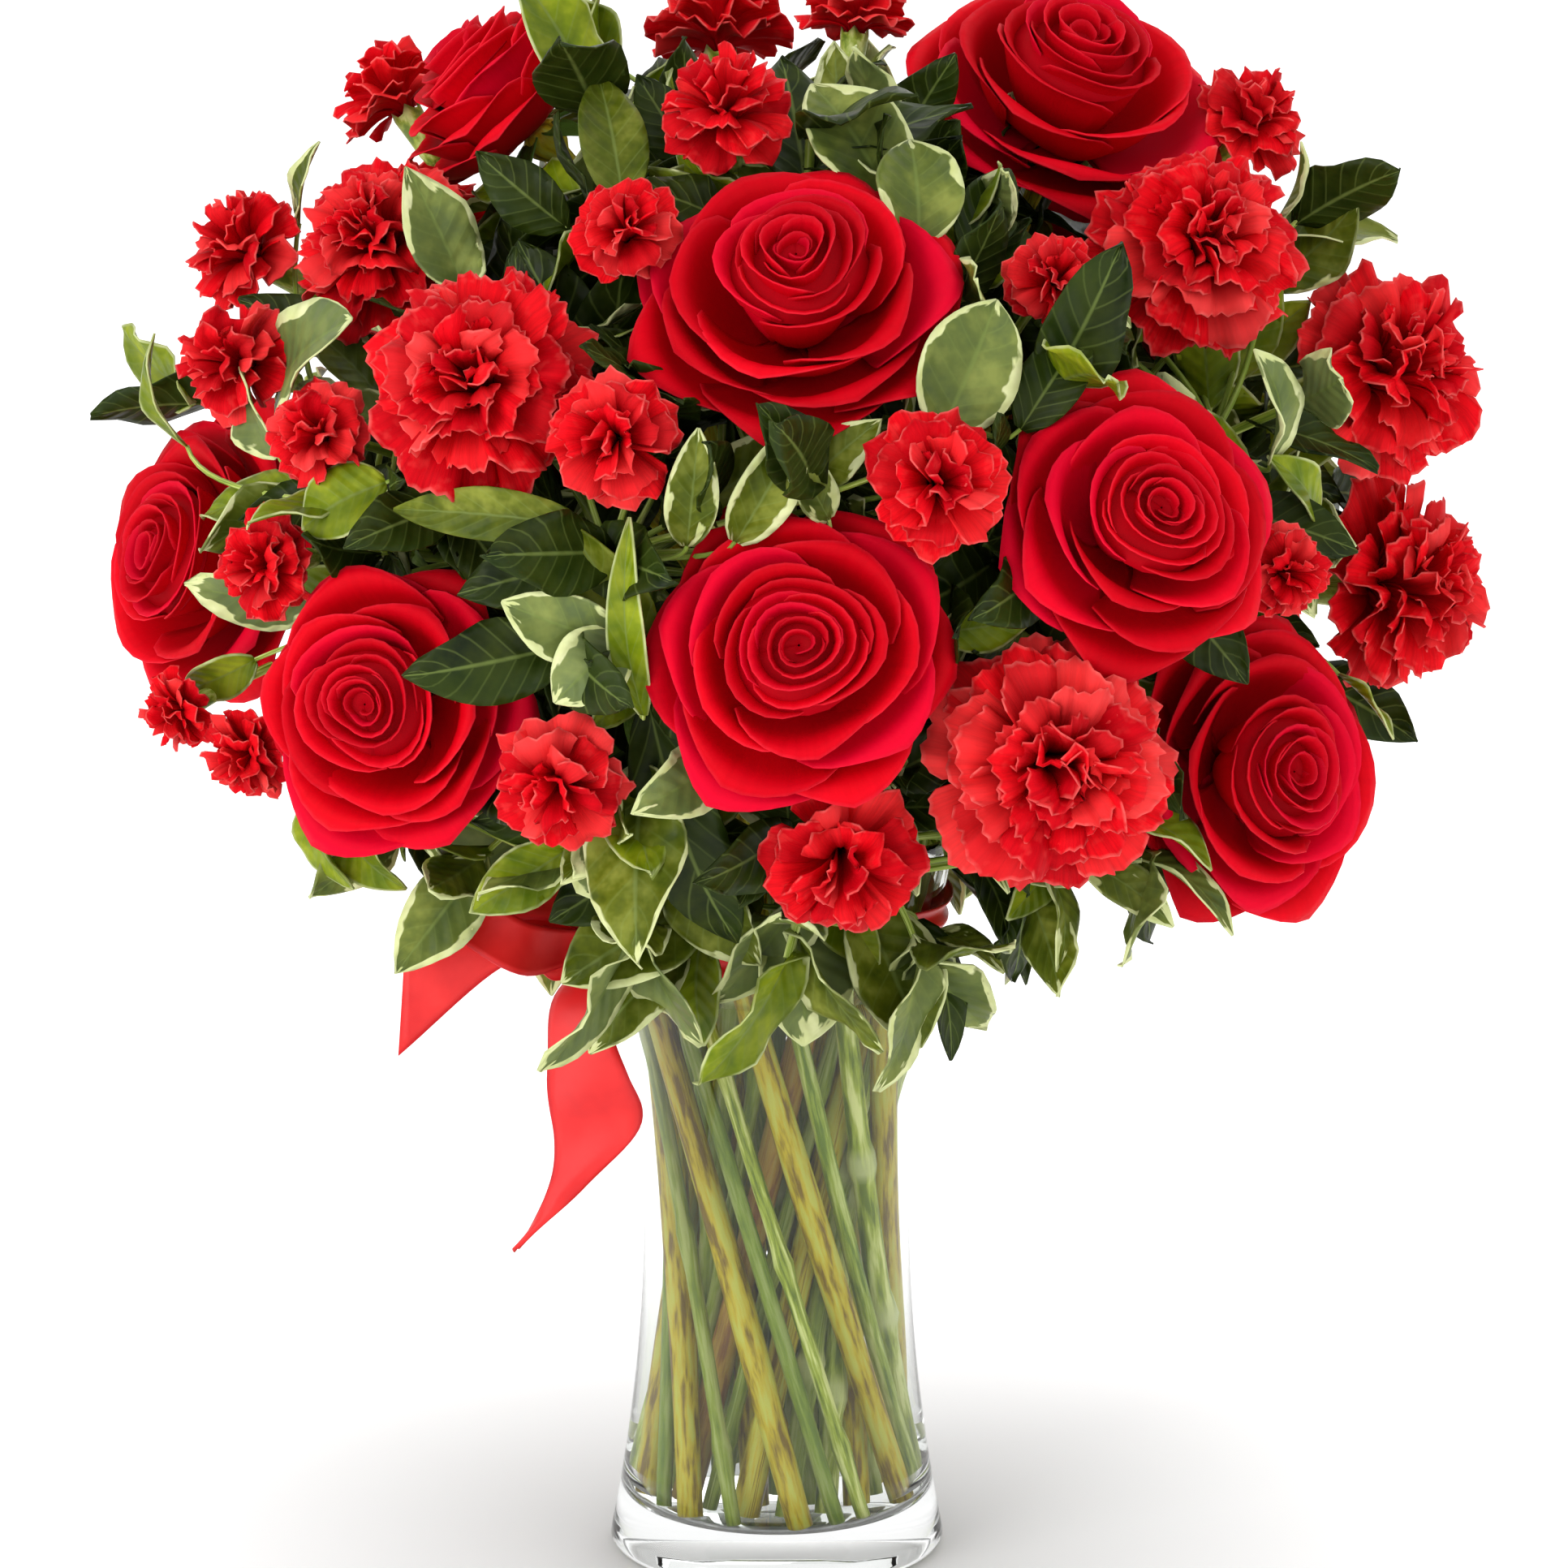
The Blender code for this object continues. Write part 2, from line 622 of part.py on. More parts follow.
# Small carnation: petals' rims and the valley between, at full size
SMALL_RIM = (15.5, 7.5, 4.0, 3.0)
SMALL_VALLEY = (7.0, 8.0)
SMALL_TOP = (10.5, 15.5, 4.0, 2.5)
SMALL_EYE = 11.0


def clear_scene():
    """Start from an empty scene."""
    for thing in list(bpy.data.objects):
        bpy.data.objects.remove(thing, do_unlink=True)


def material(name, colour, roughness, metallic=0.0, transmission=0.0):
    """A plain Principled material."""
    made = bpy.data.materials.new(name)
    made.use_nodes = True
    shader = made.node_tree.nodes["Principled BSDF"]
    shader.inputs["Base Color"].default_value = (*colour, 1.0)
    shader.inputs["Roughness"].default_value = roughness
    shader.inputs["Metallic"].default_value = metallic
    shader.inputs["Transmission Weight"].default_value = transmission
    made.diffuse_color = (*colour, 1.0)
    return made


def all_materials():
    """The materials by name."""
    return {
        "glass": material("clear_glass", (0.86, 0.92, 0.90), 0.03, transmission=1.0),
        "water": material("water", (0.80, 0.88, 0.84), 0.02, transmission=1.0),
        "rose": material("rose_petal", (0.55, 0.0, 0.015), 0.55),
        "carnation": material("carnation_petal", (0.72, 0.015, 0.02), 0.6),
        "rose_stem": material("rose_stem", (0.22, 0.20, 0.05), 0.5),
        "carnation_stem": material("carnation_stem", (0.28, 0.40, 0.22), 0.55),
        "leaf": material("variegated_leaf", (0.24, 0.36, 0.12), 0.4),
        "ribbon": material("red_satin", (0.75, 0.01, 0.02), 0.3),
    }


def add_ring(bm, points):
    """Vertices of one ring, from points in millimetres."""
    return [bm.verts.new(tuple(float(c) * MM for c in point)) for point in np.atleast_2d(points)]


def join_rings(bm, first, second, kind):
    """Triangles between two rings of equal or doubled count, or a ring and a tip."""
    made = []
    count = len(first)
    if len(second) == 1:
        made = [(first[i], first[(i + 1) % count], second[0]) for i in range(count)]
    elif len(first) == 1:
        many = len(second)
        made = [(second[(i + 1) % many], second[i], first[0]) for i in range(many)]
    elif len(second) == count:
        for i in range(count):
            j = (i + 1) % count
            made += [(first[i], first[j], second[j]), (first[i], second[j], second[i])]
    else:
        many = len(second)
        for i in range(count):
            j = (i + 1) % count
            half = second[2 * i + 1]
            made += [(first[i], first[j], half), (first[i], half, second[2 * i]),
                     (first[j], second[(2 * i + 2) % many], half)]
    for corners in made:
        bm.faces.new(corners).material_index = kind


def cap_ring(bm, ring, kind):
    """Close a ring with one flat face."""
    bm.faces.new(ring).material_index = kind


def loft(rings, kinds=None, closed=False):
    """One closed skin over rings of points; a ring of one point is a tip."""
    bm = bmesh.new()
    made = [add_ring(bm, ring) for ring in rings]
    kinds = kinds or [0] * len(made)
    for k in range(len(made) - 1):
        join_rings(bm, made[k], made[k + 1], kinds[k])
    if closed:
        join_rings(bm, made[-1], made[0], kinds[0])
    else:
        if len(made[0]) > 1:
            cap_ring(bm, made[0], kinds[0])
        if len(made[-1]) > 1:
            cap_ring(bm, made[-1], kinds[-1])
    bmesh.ops.recalc_face_normals(bm, faces=bm.faces)
    if bm.calc_volume(signed=True) < 0.0:
        bmesh.ops.reverse_faces(bm, faces=bm.faces)
    return bm


def to_object(name, bm, materials):
    """A named object from a mesh."""
    mesh = bpy.data.meshes.new(name)
    bm.to_mesh(mesh)
    bm.free()
    for one in materials:
        mesh.materials.append(one)
    thing = bpy.data.objects.new(name, mesh)
    bpy.context.collection.objects.link(thing)
    return thing


def is_closed(bm):
    """True if every edge has two faces and no face has shrunk to nothing."""
    return all(len(edge.link_faces) == 2 for edge in bm.edges) and all(
        face.calc_area() > 0.0 for face in bm.faces)


def merge_flats(mesh):
    """Join the slivers that a Boolean leaves in flat faces, as far as the skin stays closed."""
    for distance, angle in ((SLIVER, FLAT_ANGLE), (0.0, FLAT_ANGLE), (SLIVER, 0.0)):
        bm = bmesh.new()
        bm.from_mesh(mesh)
        if distance:
            bmesh.ops.remove_doubles(bm, verts=bm.verts, dist=distance * MM)
        if angle:
            bmesh.ops.dissolve_limit(bm, angle_limit=angle, verts=bm.verts, edges=bm.edges,
                                     delimit={"MATERIAL"})
        bmesh.ops.triangulate(bm, faces=bm.faces)
        closed = is_closed(bm)
        if closed:
            bm.to_mesh(mesh)
        bm.free()
        if closed:
            return


def combine(thing, others, operation):
    """Apply one Boolean with a collection of helpers, and remove the helpers.

    The MANIFOLD solver is used because EXACT leaves open edges where twigs and leaves meet.
    """
    helpers = bpy.data.collections.new("helpers")
    bpy.context.scene.collection.children.link(helpers)
    for other in others:
        for owner in list(other.users_collection):
            owner.objects.unlink(other)
        helpers.objects.link(other)
    boolean = thing.modifiers.new("Combine", "BOOLEAN")
    boolean.operation = operation
    boolean.operand_type = "COLLECTION"
    boolean.collection = helpers
    boolean.solver = "MANIFOLD"
    bpy.context.view_layer.update()
    graph = bpy.context.evaluated_depsgraph_get()
    result = bpy.data.meshes.new_from_object(thing.evaluated_get(graph))
    thing.modifiers.remove(boolean)
    merge_flats(result)
    old = thing.data
    thing.data = result
    bpy.data.meshes.remove(old)
    for other in others:
        bpy.data.objects.remove(other, do_unlink=True)
    bpy.data.collections.remove(helpers)
    return thing


def tube_rings(points, radii, sides):
    """Rings square to a path, turned along it without twist."""
    points = np.array(points)
    ahead = np.diff(points, axis=0)
    ahead = ahead / np.linalg.norm(ahead, axis=1)[:, None]
    tangents = np.vstack((ahead[:1], ahead[:-1] + ahead[1:], ahead[-1:]))
    tangents = tangents / np.linalg.norm(tangents, axis=1)[:, None]
    side = frame_of(ahead[0])[0]
    turns = np.arange(sides) * 2 * math.pi / sides
    rings = []
    for point, tangent, radius in zip(points, tangents, radii):
        side = unit(side - tangent * np.dot(side, tangent))
        other = np.cross(tangent, side)
        circle = np.outer(np.cos(turns), side) + np.outer(np.sin(turns), other)
        rings.append(point + circle * radius)
    return rings


def stem_points(line, controls):
    """The foot and the top of the straight stretch, then points along the curve."""
    return np.vstack((line[0], bezier(controls, STEM_STEPS)))


def stem_radii(thick, thin, share=1.0):
    """Radii for the stem's points: stout in the vase, then slimmer up to the flower."""
    curve = np.linspace(thick, thin, STEM_STEPS)
    return np.concatenate(([thick * share] * 2, curve[1:]))


def aligned_rings(axis, base, last_ring, rows, count):
    """Rings round a flower's axis that start in step with the last ring of its stem."""
    start = last_ring[0] - base
    side = unit(start - axis * np.dot(start, axis))
    other = np.cross(axis, side)
    rings = []
    for radii, heights in rows:
        turns = np.arange(count) * 2 * math.pi / count
        radii = np.resize(radii, count)
        heights = np.resize(heights, count)
        circle = np.outer(np.cos(turns) * radii, side) + np.outer(np.sin(turns) * radii, other)
        rings.append(base + circle + np.outer(heights, axis))
    return rings


def rose_stem(name, line, controls, bloom, materials):
    """A rose's stem with its hip and five sepals, just under the bloom."""
    base, axes, size = bloom
    points = stem_points(line, controls)
    rings = tube_rings(points, stem_radii(ROSE_STEM, ROSE_STEM, FOOT_SHARE), STEM_SIDES)
    hip = aligned_rings(axes[2], base, rings[-1], [HIP_RING], STEM_SIDES)
    sepals = ((SEPAL_TIP[0] * size, SEPAL_GAP[0]), (SEPAL_TIP[1], SEPAL_GAP[1]))
    star = aligned_rings(axes[2], base, rings[-1], [sepals, (GREEN_TOP, -GAP)], 2 * STEM_SIDES)
    return to_object(name, loft(rings + hip + star), [materials["rose_stem"]])


def carnation_stem(name, line, controls, bloom, materials):
    """A carnation's stem, swollen at its joints, with the tube of green under its petals."""
    base, axes, size = bloom
    points = stem_points(line, controls)
    radii = stem_radii(CARNATION_STEM, CARNATION_STEM, FOOT_SHARE)
    radii[2:-1:2] *= JOINT_SWELLING
    rings = tube_rings(points, radii, STEM_SIDES)
    foot = (CALYX_FOOT[0], CALYX_FOOT[1] - CALYX)
    tube = aligned_rings(axes[2], base, rings[-1],
                         [foot, (CALYX_RADIUS, CALYX_RIM), (GREEN_TOP, -GAP)], STEM_SIDES)
    return to_object(name, loft(rings + tube), [materials["carnation_stem"]])


def in_place(rows, base, axes, size):
    """Rings given as radii, heights and turns, set on a bloom's base and scaled."""
    rings = []
    for radii, heights in rows:
        count = len(radii)
        turns = np.arange(count) * 2 * math.pi / count
        local = np.stack((np.cos(turns) * radii, np.sin(turns) * radii, heights), axis=1)
        rings.append(base + local * size @ axes)
    return rings


def petal_rim(count, petals, turn, radius, height, notch, droop):
    """A rim cut into petals: notched between them, each with its tip turned down."""
    share = (np.arange(count) / count * petals + turn) % 1.0
    from_tip = np.abs(2 * share - 1)
    radii = radius * (1 - notch * from_tip ** 2 + 0.05 * (share - 0.5))
    heights = height - droop * (1 - from_tip)
    return radii, heights


def rose_bloom(name, bloom, materials):
    """A rose: tiers of petals raised round a closed bud."""
    count = ROSE_SIDES
    bottom, under, under_height = ROSE_BOTTOM
    rows = [(np.full(count, bottom), np.zeros(count)),
            (np.full(count, under), np.full(count, under_height))]
    for petals, turn, radius, height, notch, droop, valley, valley_height in ROSE_TIERS:
        rows.append(petal_rim(count, petals, turn, radius, height, notch, droop))
        rows.append((np.full(count, valley), np.full(count, valley_height)))
    rows.append(petal_rim(count, *ROSE_BUD))
    rings = in_place(rows, *bloom)
    rings.append((bloom[0] + bloom[1][2] * ROSE_EYE * bloom[2])[None, :])
    return to_object(name, loft(rings), [materials["rose"]])


def frill(count, radius, height, spread, lift):
    """A rim that goes in and out and up and down at every other corner."""
    swing = np.where(np.arange(count) % 2, 1.0, -1.0)
    slow = np.cos(np.arange(count) * 2 * math.pi * 3 / count + radius)
    return radius + swing * spread * 0.5 + slow * spread * 0.3, height + swing * lift * 0.5


def carnation_bloom(name, bloom, materials):
    """A carnation: tiers of frilled petals."""
    count = CARNATION_SIDES
    rows = [(np.full(count, CARNATION_BOTTOM), np.zeros(count))]
    for radius, height, spread, lift, valley, valley_height in CARNATION_TIERS:
        rows.append(frill(count, radius, height, spread, lift))
        rows.append((np.full(count, valley), np.full(count, valley_height)))
    rows.append(frill(count, *CARNATION_TOP))
    rings = in_place(rows, *bloom)
    rings.append((bloom[0] + bloom[1][2] * CARNATION_EYE * bloom[2])[None, :])
    return to_object(name, loft(rings), [materials["carnation"]])


def small_head_rings(head, last_ring):
    """The calyx and petals of a small carnation, in step with the twig that bears it."""
    base, axes, size = head
    neck_row = (SMALL_NECK[0] * size, SMALL_NECK[1] * size)
    neck = aligned_rings(axes[2], base, last_ring, [neck_row], SMALL_SIDES)
    rows = []
    for radii, heights in (frill(SMALL_SIDES, *SMALL_RIM),
                           (np.array([SMALL_VALLEY[0]]), np.array([SMALL_VALLEY[1]])),
                           frill(SMALL_SIDES, *SMALL_TOP)):
        rows.append((radii * size, heights * size))
    petals = aligned_rings(axes[2], base, last_ring, rows, SMALL_SIDES)
    return neck + petals + [(base + axes[2] * SMALL_EYE * size)[None, :]]


def spray_carnation(name, line, main, twigs, heads, materials):
    """A stem that branches to several small carnations, fused in one piece."""
    pieces = []
    for k, (controls, head) in enumerate(zip([main] + twigs, heads)):
        if k == 0:
            points = stem_points(line, controls)
            radii = stem_radii(SPRAY_STEM, BRANCH)
        else:
            points = bezier(controls, BRANCH_STEPS)
            radii = np.full(len(points), BRANCH)
        stem = tube_rings(points, radii, STEM_SIDES)
        rings = stem + small_head_rings(head, stem[-1])
        kinds = [0] * len(stem) + [1] * (len(rings) - len(stem))
        pieces.append(to_object(f"{name}_{k}", loft(rings, kinds),
                                [materials["carnation_stem"], materials["carnation"]]))
    whole = combine(pieces[0], pieces[1:], "UNION")
    whole.name = name
    return whole


def leaf_blade(name, leaf, twigs, materials):
    """A thin waved blade, split into triangles alike on both faces."""
    (axes, root), length, phase = leaf
    anchors = [nearest_on(path, root) for path in twigs]
    anchor = min(anchors, key=lambda point: np.linalg.norm(point - root))
    bm = bmesh.new()
    faces = []
    for level in (0.5, -0.5):
        rows = []
        for u in LEAF_STATIONS:
            across = (0.0,) if u in (0.0, 1.0) else (-1.0, 0.0, 1.0)
            row = []
            for v in across:
                point = root + leaf_point(u, v, length, phase) @ axes
                if u == 0.0:
                    point = anchor
                row += add_ring(bm, point + axes[2] * level * LEAF_THICK)
            rows.append(row)
        faces.append(rows)
    triangles = []
    for k, rows in enumerate(faces):
        (tip_a,), low, high, (tip_b,) = rows
        flat = [(tip_a, low[0], low[1]), (tip_a, low[1], low[2]), (low[0], high[0], low[1]),
                (low[1], high[0], high[1]), (low[1], high[1], high[2]), (low[1], high[2], low[2]),
                (high[0], tip_b, high[1]), (high[1], tip_b, high[2])]
        triangles += flat if k else [corners[::-1] for corners in flat]
    top, under = faces
    for side in (0, 2):
        rim_top = [top[0][0], top[1][side], top[2][side], top[3][0]]
        rim_under = [under[0][0], under[1][side], under[2][side], under[3][0]]
        for i in range(3):
            triangles += [(rim_top[i], rim_top[i + 1], rim_under[i + 1]),
                          (rim_top[i], rim_under[i + 1], rim_under[i])]
    for corners in triangles:
        bm.faces.new(corners)
    bmesh.ops.recalc_face_normals(bm, faces=bm.faces)
    return to_object(name, bm, [materials["leaf"]])


def green_spray(name, line, main, twigs, leaves, materials):
    """A woody stem with twigs and their leaves, fused in one piece."""
    points = stem_points(line, main)
    rings = tube_rings(points, stem_radii(GREEN_STEM, BRANCH), STEM_SIDES)
    stem = to_object(name, loft(rings), [materials["leaf"]])
    pieces = []
    paths = [points] + [bezier(controls, BRANCH_STEPS) for controls in twigs]
    for k, points in enumerate(paths[1:]):
        rings = tube_rings(points, np.full(len(points), BRANCH), TWIG_SIDES)
        pieces.append(to_object(f"{name}_twig_{k}", loft(rings), [materials["leaf"]]))
    for k, leaf in enumerate(leaves):
        pieces.append(leaf_blade(f"{name}_leaf_{k}", leaf, paths, materials))
    return combine(stem, pieces, "UNION")


def circle(radius, z, sides=GLASS_SIDES):
    """A level ring round the vase's axis."""
    turns = np.arange(sides) * 2 * math.pi / sides
    return np.stack((radius * np.cos(turns), radius * np.sin(turns), np.full(sides, z)), axis=1)


def vase(materials):
    """The glass: outside from the underside up, over the lip, and down to the inner floor."""
    rings = [circle(vase_radius(z), z) for z in OUTER_LEVELS]
    rings += [circle(vase_radius(z) - GLASS_WALL, z) for z in INNER_LEVELS]
    rings.append(circle(vase_radius(GLASS_FLOOR) - GLASS_WALL - FLOOR_CORNER, GLASS_FLOOR))
    return to_object("vase", loft(rings), [materials["glass"]])


def water(lines, materials):
    """The water, with a plain straight hole for every stem."""
    levels = [z for z in reversed(INNER_LEVELS) if z < WATER_TOP] + [WATER_TOP]
    rings = [circle(vase_radius(GLASS_FLOOR) - GLASS_WALL - FLOOR_CORNER - GAP, GLASS_FLOOR + GAP)]
    rings += [circle(vase_radius(z) - GLASS_WALL - GAP, z) for z in levels]
    body = to_object("water", loft(rings), [materials["water"]])
    cutters = []
    for name, (foot, top) in lines.items():
        along = unit(top - foot)
        points = np.array((foot - along * HOLE_PAST_FOOT, top + along * HOLE_PAST_TOP))
        radius = foot_size(name) + HOLE_ROOM
        rings = tube_rings(points, [radius] * 2, STEM_SIDES)
        cutters.append(to_object(f"hole_{name}", loft(rings), [materials["water"]]))
    return combine(body, cutters, "DIFFERENCE")


def strip(name, rails, steps, materials):
    """A ribbon strip between two edges, with the ribbon's thickness."""
    first = smooth_route(rails[0], steps)
    second = smooth_route(rails[1], steps)
    middle = (first + second) / 2
    ahead = np.gradient(middle, axis=0)
    rings = []
    for a, b, forward in zip(first, second, ahead):
        out = unit(np.cross(forward, b - a)) * RIBBON_THICK / 2
        rings.append(np.array((a + out, b + out, b - out, a - out)))
    return to_object(name, loft(rings), [materials["ribbon"]])


def ribbon(materials):
    """The band round the neck, its knot, a loop and two tails cut on the slant."""
    rings = []
    for k in range(GLASS_SIDES):
        a = 2 * math.pi * k / GLASS_SIDES
        out = np.array((math.cos(a), math.sin(a), 0.0))
        corners = []
        for z, thick in ((BAND_LOW, 0.0), (BAND_LOW, BAND_THICK), (BAND_HIGH, BAND_THICK),
                         (BAND_HIGH, 0.0)):
            corners.append(out * (band_radius(z) + GAP + thick) + (0, 0, z))
        rings.append(np.array(corners))
    band = to_object("ribbon", loft(rings, closed=True), [materials["ribbon"]])
    bm = bmesh.new()
    bmesh.ops.create_icosphere(bm, subdivisions=1, radius=1.0)
    for corner in bm.verts:
        place = np.array(corner.co) * KNOT_SIZE + KNOT
        corner.co = tuple(float(c) * MM for c in place)
    knot = to_object("ribbon_knot", bm, [materials["ribbon"]])
    strips = [strip(name, rails, steps, materials) for name, rails, steps in (
        ("ribbon_loop", LOOP, 11), ("ribbon_tail_1", TAIL_ONE, 5), ("ribbon_tail_2", TAIL_TWO, 8))]
    return combine(band, [knot] + strips, "UNION")


def band_radius(z):
    """Radius of the faceted glass at a height, read straight between its levels."""
    for low, high in zip(OUTER_LEVELS, OUTER_LEVELS[1:]):
        if low <= z <= high:
            share = (z - low) / (high - low)
            return vase_radius(low) * (1 - share) + vase_radius(high) * share
    return vase_radius(z)


def smooth(things, angle=35.0):
    """Round pieces are shaded smooth, with their sharp edges kept."""
    for thing in things:
        thing.data.shade_smooth()
        thing.data.set_sharp_from_angle(angle=math.radians(angle))


def build():
    """Make every piece."""
    clear_scene()
    materials = all_materials()
    blooms, heads, lines, routes, branches, leaves = lay_out()
    made = [vase(materials), water(lines, materials), ribbon(materials)]
    for name in ROSES:
        made.append(rose_bloom(f"{name}_bloom", blooms[name], materials))
        made.append(rose_stem(f"{name}_stem", lines[name], routes[name], blooms[name], materials))
    for name in CARNATIONS:
        made.append(carnation_bloom(f"{name}_bloom", blooms[name], materials))
        made.append(carnation_stem(f"{name}_stem", lines[name], routes[name], blooms[name],
                                   materials))
    for name in SPRAY_CARNATIONS:
        made.append(spray_carnation(name, lines[name], routes[name], branches[name],
                                    heads[name], materials))
    for name in GREENS:
        made.append(green_spray(name, lines[name], routes[name], branches[name], leaves[name],
                                materials))
    smooth(made)
    return made


if __name__ == "__main__":
    build()
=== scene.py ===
"""Looks of a bouquet of roses and carnations in a clear glass vase tied with a ribbon.

Sizes are in millimetres and are turned into metres as each mesh is made. The places of the
flowers, stems and leaves follow the same rules as the solids do.
"""
import functools
import math
import random

import bpy
import numpy as np
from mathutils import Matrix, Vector


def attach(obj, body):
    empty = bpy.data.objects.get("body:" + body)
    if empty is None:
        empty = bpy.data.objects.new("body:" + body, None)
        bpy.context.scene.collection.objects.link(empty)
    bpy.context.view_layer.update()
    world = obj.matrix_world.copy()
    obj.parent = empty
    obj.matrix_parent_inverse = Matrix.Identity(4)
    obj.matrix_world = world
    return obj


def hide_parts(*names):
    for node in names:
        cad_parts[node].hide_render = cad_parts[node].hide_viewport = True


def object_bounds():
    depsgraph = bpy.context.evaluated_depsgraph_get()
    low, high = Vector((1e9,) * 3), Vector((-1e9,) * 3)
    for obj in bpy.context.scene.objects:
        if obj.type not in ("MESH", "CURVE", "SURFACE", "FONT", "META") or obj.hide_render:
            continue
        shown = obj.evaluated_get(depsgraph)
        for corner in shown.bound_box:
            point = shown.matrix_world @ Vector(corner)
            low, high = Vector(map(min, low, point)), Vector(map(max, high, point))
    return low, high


MM = 0.001
BODY = "root"

# Vase: a clear hourglass glass, with a thick base and a wide mouth
VASE_HEIGHT = 203.0
BASE_RADIUS = 46.7
WAIST_RADIUS = 36.5
WAIST_HEIGHT = 97.0
MOUTH_RADIUS = 50.0
GLASS_WALL = 3.0
GLASS_FLOOR = 12.0
WATER_TOP = 160.0
WATER_LAP = 0.12

# Dome of blooms: the half-sizes and centre of an ellipsoid that the bloom centres lie near
DOME_CENTRE = np.array((3.0, 0.0, 282.0))
DOME_HALF = np.array((152.0, 140.0, 126.0))

# Each row: azimuth from the front and elevation on the dome in degrees, reach from its
# centre (1 is on the dome), width of the bloom, then the azimuth and elevation it faces
ROSES = {
    "rose_01": (-98, 61, 1.11, 69, -84, 46),
    "rose_02": (97, 63, 1.12, 86, 22, 55),
    "rose_03": (1, 42, 0.99, 82, 0, 46),
    "rose_04": (36, 11, 1.03, 72, 20, 24),
    "rose_05": (1, -2, 1.00, 76, 0, 18),
    "rose_06": (-90, -2, 1.07, 75, -52, 14),
    "rose_07": (-44, -12, 1.01, 72, -20, 12),
    "rose_08": (67, -25, 1.01, 78, 34, 8),
    "rose_09": (150, 10, 1.00, 80, 150, 14),
    "rose_10": (-148, 7, 1.00, 80, -146, 10),
    "rose_11": (178, 43, 0.99, 84, 178, 46),
    "rose_12": (125, 33, 1.00, 80, 122, 38),
}
CARNATIONS = {
    "carnation_01": (-36, 27, 0.98, 64, -18, 24),
    "carnation_02": (69, 41, 1.00, 62, 24, 36),
    "carnation_03": (27, -17, 1.01, 68, 14, 4),
    "carnation_04": (88, 19, 1.12, 61, 52, 20),
    "carnation_05": (92, -6, 1.10, 63, 58, 4),
    "carnation_06": (-75, 42, 0.98, 52, -36, 38),
    "carnation_07": (180, -17, 1.00, 66, 180, -4),
    "carnation_08": (-124, 32, 1.01, 66, -124, 34),
    "carnation_09": (128, -12, 1.02, 64, 128, -4),
}
# Sprays of small carnations; each head's row ends with its width
SPRAY_CARNATIONS = {
    "spray_carnation_1": ((-90, 33, 1.15, 37), (-114, 50, 1.21, 36), (-75, 23, 1.08, 36)),
    "spray_carnation_2": ((-60, 2, 1.03, 31), (-56, 18, 1.01, 31), (-74, -16, 1.15, 24),
                          (-67, -21, 1.09, 28)),
    "spray_carnation_3": ((-17, 21, 1.04, 36), (-22, 46, 1.04, 30), (-15, 67, 1.05, 37)),
    "spray_carnation_4": ((14, 16, 1.05, 38), (36, 40, 0.99, 28), (55, 2, 1.03, 27)),
    "spray_carnation_5": ((-23, -19, 1.03, 38), (6, -30, 1.01, 46)),
    "spray_carnation_6": ((-164, 66, 1.16, 42), (157, 74, 1.15, 33), (96, 47, 1.22, 34)),
    "spray_carnation_7": ((178, 12, 1.04, 38), (-152, -24, 1.00, 36), (150, -22, 1.00, 36),
                          (-118, -8, 1.04, 38)),
}
# Sprays of leaves; each tuft's row ends with its number of leaves and their length
GREENS = {
    "pittosporum_1": ((-29, -53, 0.95, 4, 42), (-52, -42, 0.90, 3, 36), (-18, -24, 0.84, 1, 52)),
    "pittosporum_2": ((0, -55, 0.95, 4, 40), (44, -48, 0.88, 3, 36), (25, -56, 0.95, 4, 40),
                      (54, -38, 0.94, 3, 38)),
    "pittosporum_3": ((-56, 10, 0.90, 2, 34), (-80, 28, 0.91, 1, 30), (-100, 14, 1.11, 2, 34),
                      (-72, -38, 0.92, 2, 34)),
    "pittosporum_4": ((-20, 8, 0.92, 3, 40), (2, 18, 0.94, 3, 36), (-24, -4, 0.92, 2, 38)),
    "pittosporum_5": ((6, 68, 0.97, 3, 46), (-60, 68, 1.02, 2, 44), (32, 28, 0.94, 2, 42),
                      (-150, 62, 0.96, 2, 36)),
    "pittosporum_6": ((72, 20, 1.00, 2, 38), (91, 37, 1.12, 2, 38), (104, -20, 1.04, 2, 34),
                      (100, 4, 0.98, 2, 34)),
    "pittosporum_7": ((-125, -22, 0.96, 3, 38), (-170, -36, 0.94, 3, 38), (-118, 12, 0.98, 2, 36)),
    "pittosporum_8": ((156, 31, 0.98, 2, 38), (165, -36, 0.94, 2, 38), (124, 9, 0.95, 2, 36),
                      (-150, 28, 0.98, 2, 38)),
}
# How the stems stand in the water: rings of straight stems that lean round the axis.
# Each ring: radius at the foot and at the top, lean round the axis in degrees, azimuth
# of the first stem's top, and the stems in order
STEM_RINGS = (
    (33.5, 34.0, -85.0, -170.0, (
        "rose_10", "pittosporum_7", "rose_06", "spray_carnation_2", "rose_07", "pittosporum_1",
        "spray_carnation_5", "rose_05", "pittosporum_2", "carnation_03", "rose_08",
        "pittosporum_6", "carnation_05", "carnation_09", "rose_09", "carnation_07")),
    (24.0, 24.0, 95.0, -105.0, (
        "carnation_08", "spray_carnation_1", "pittosporum_3", "carnation_01",
        "spray_carnation_3", "rose_03", "spray_carnation_4", "rose_04", "carnation_02",
        "carnation_04", "rose_12", "pittosporum_8", "rose_11", "spray_carnation_7")),
    (12.5, 12.5, -90.0, -115.0, (
        "rose_01", "carnation_06", "pittosporum_4", "rose_02", "spray_carnation_6")),
    (0.0, 0.0, 0.0, 0.0, ("pittosporum_5",)),
)
STEM_FOOT = 13.6
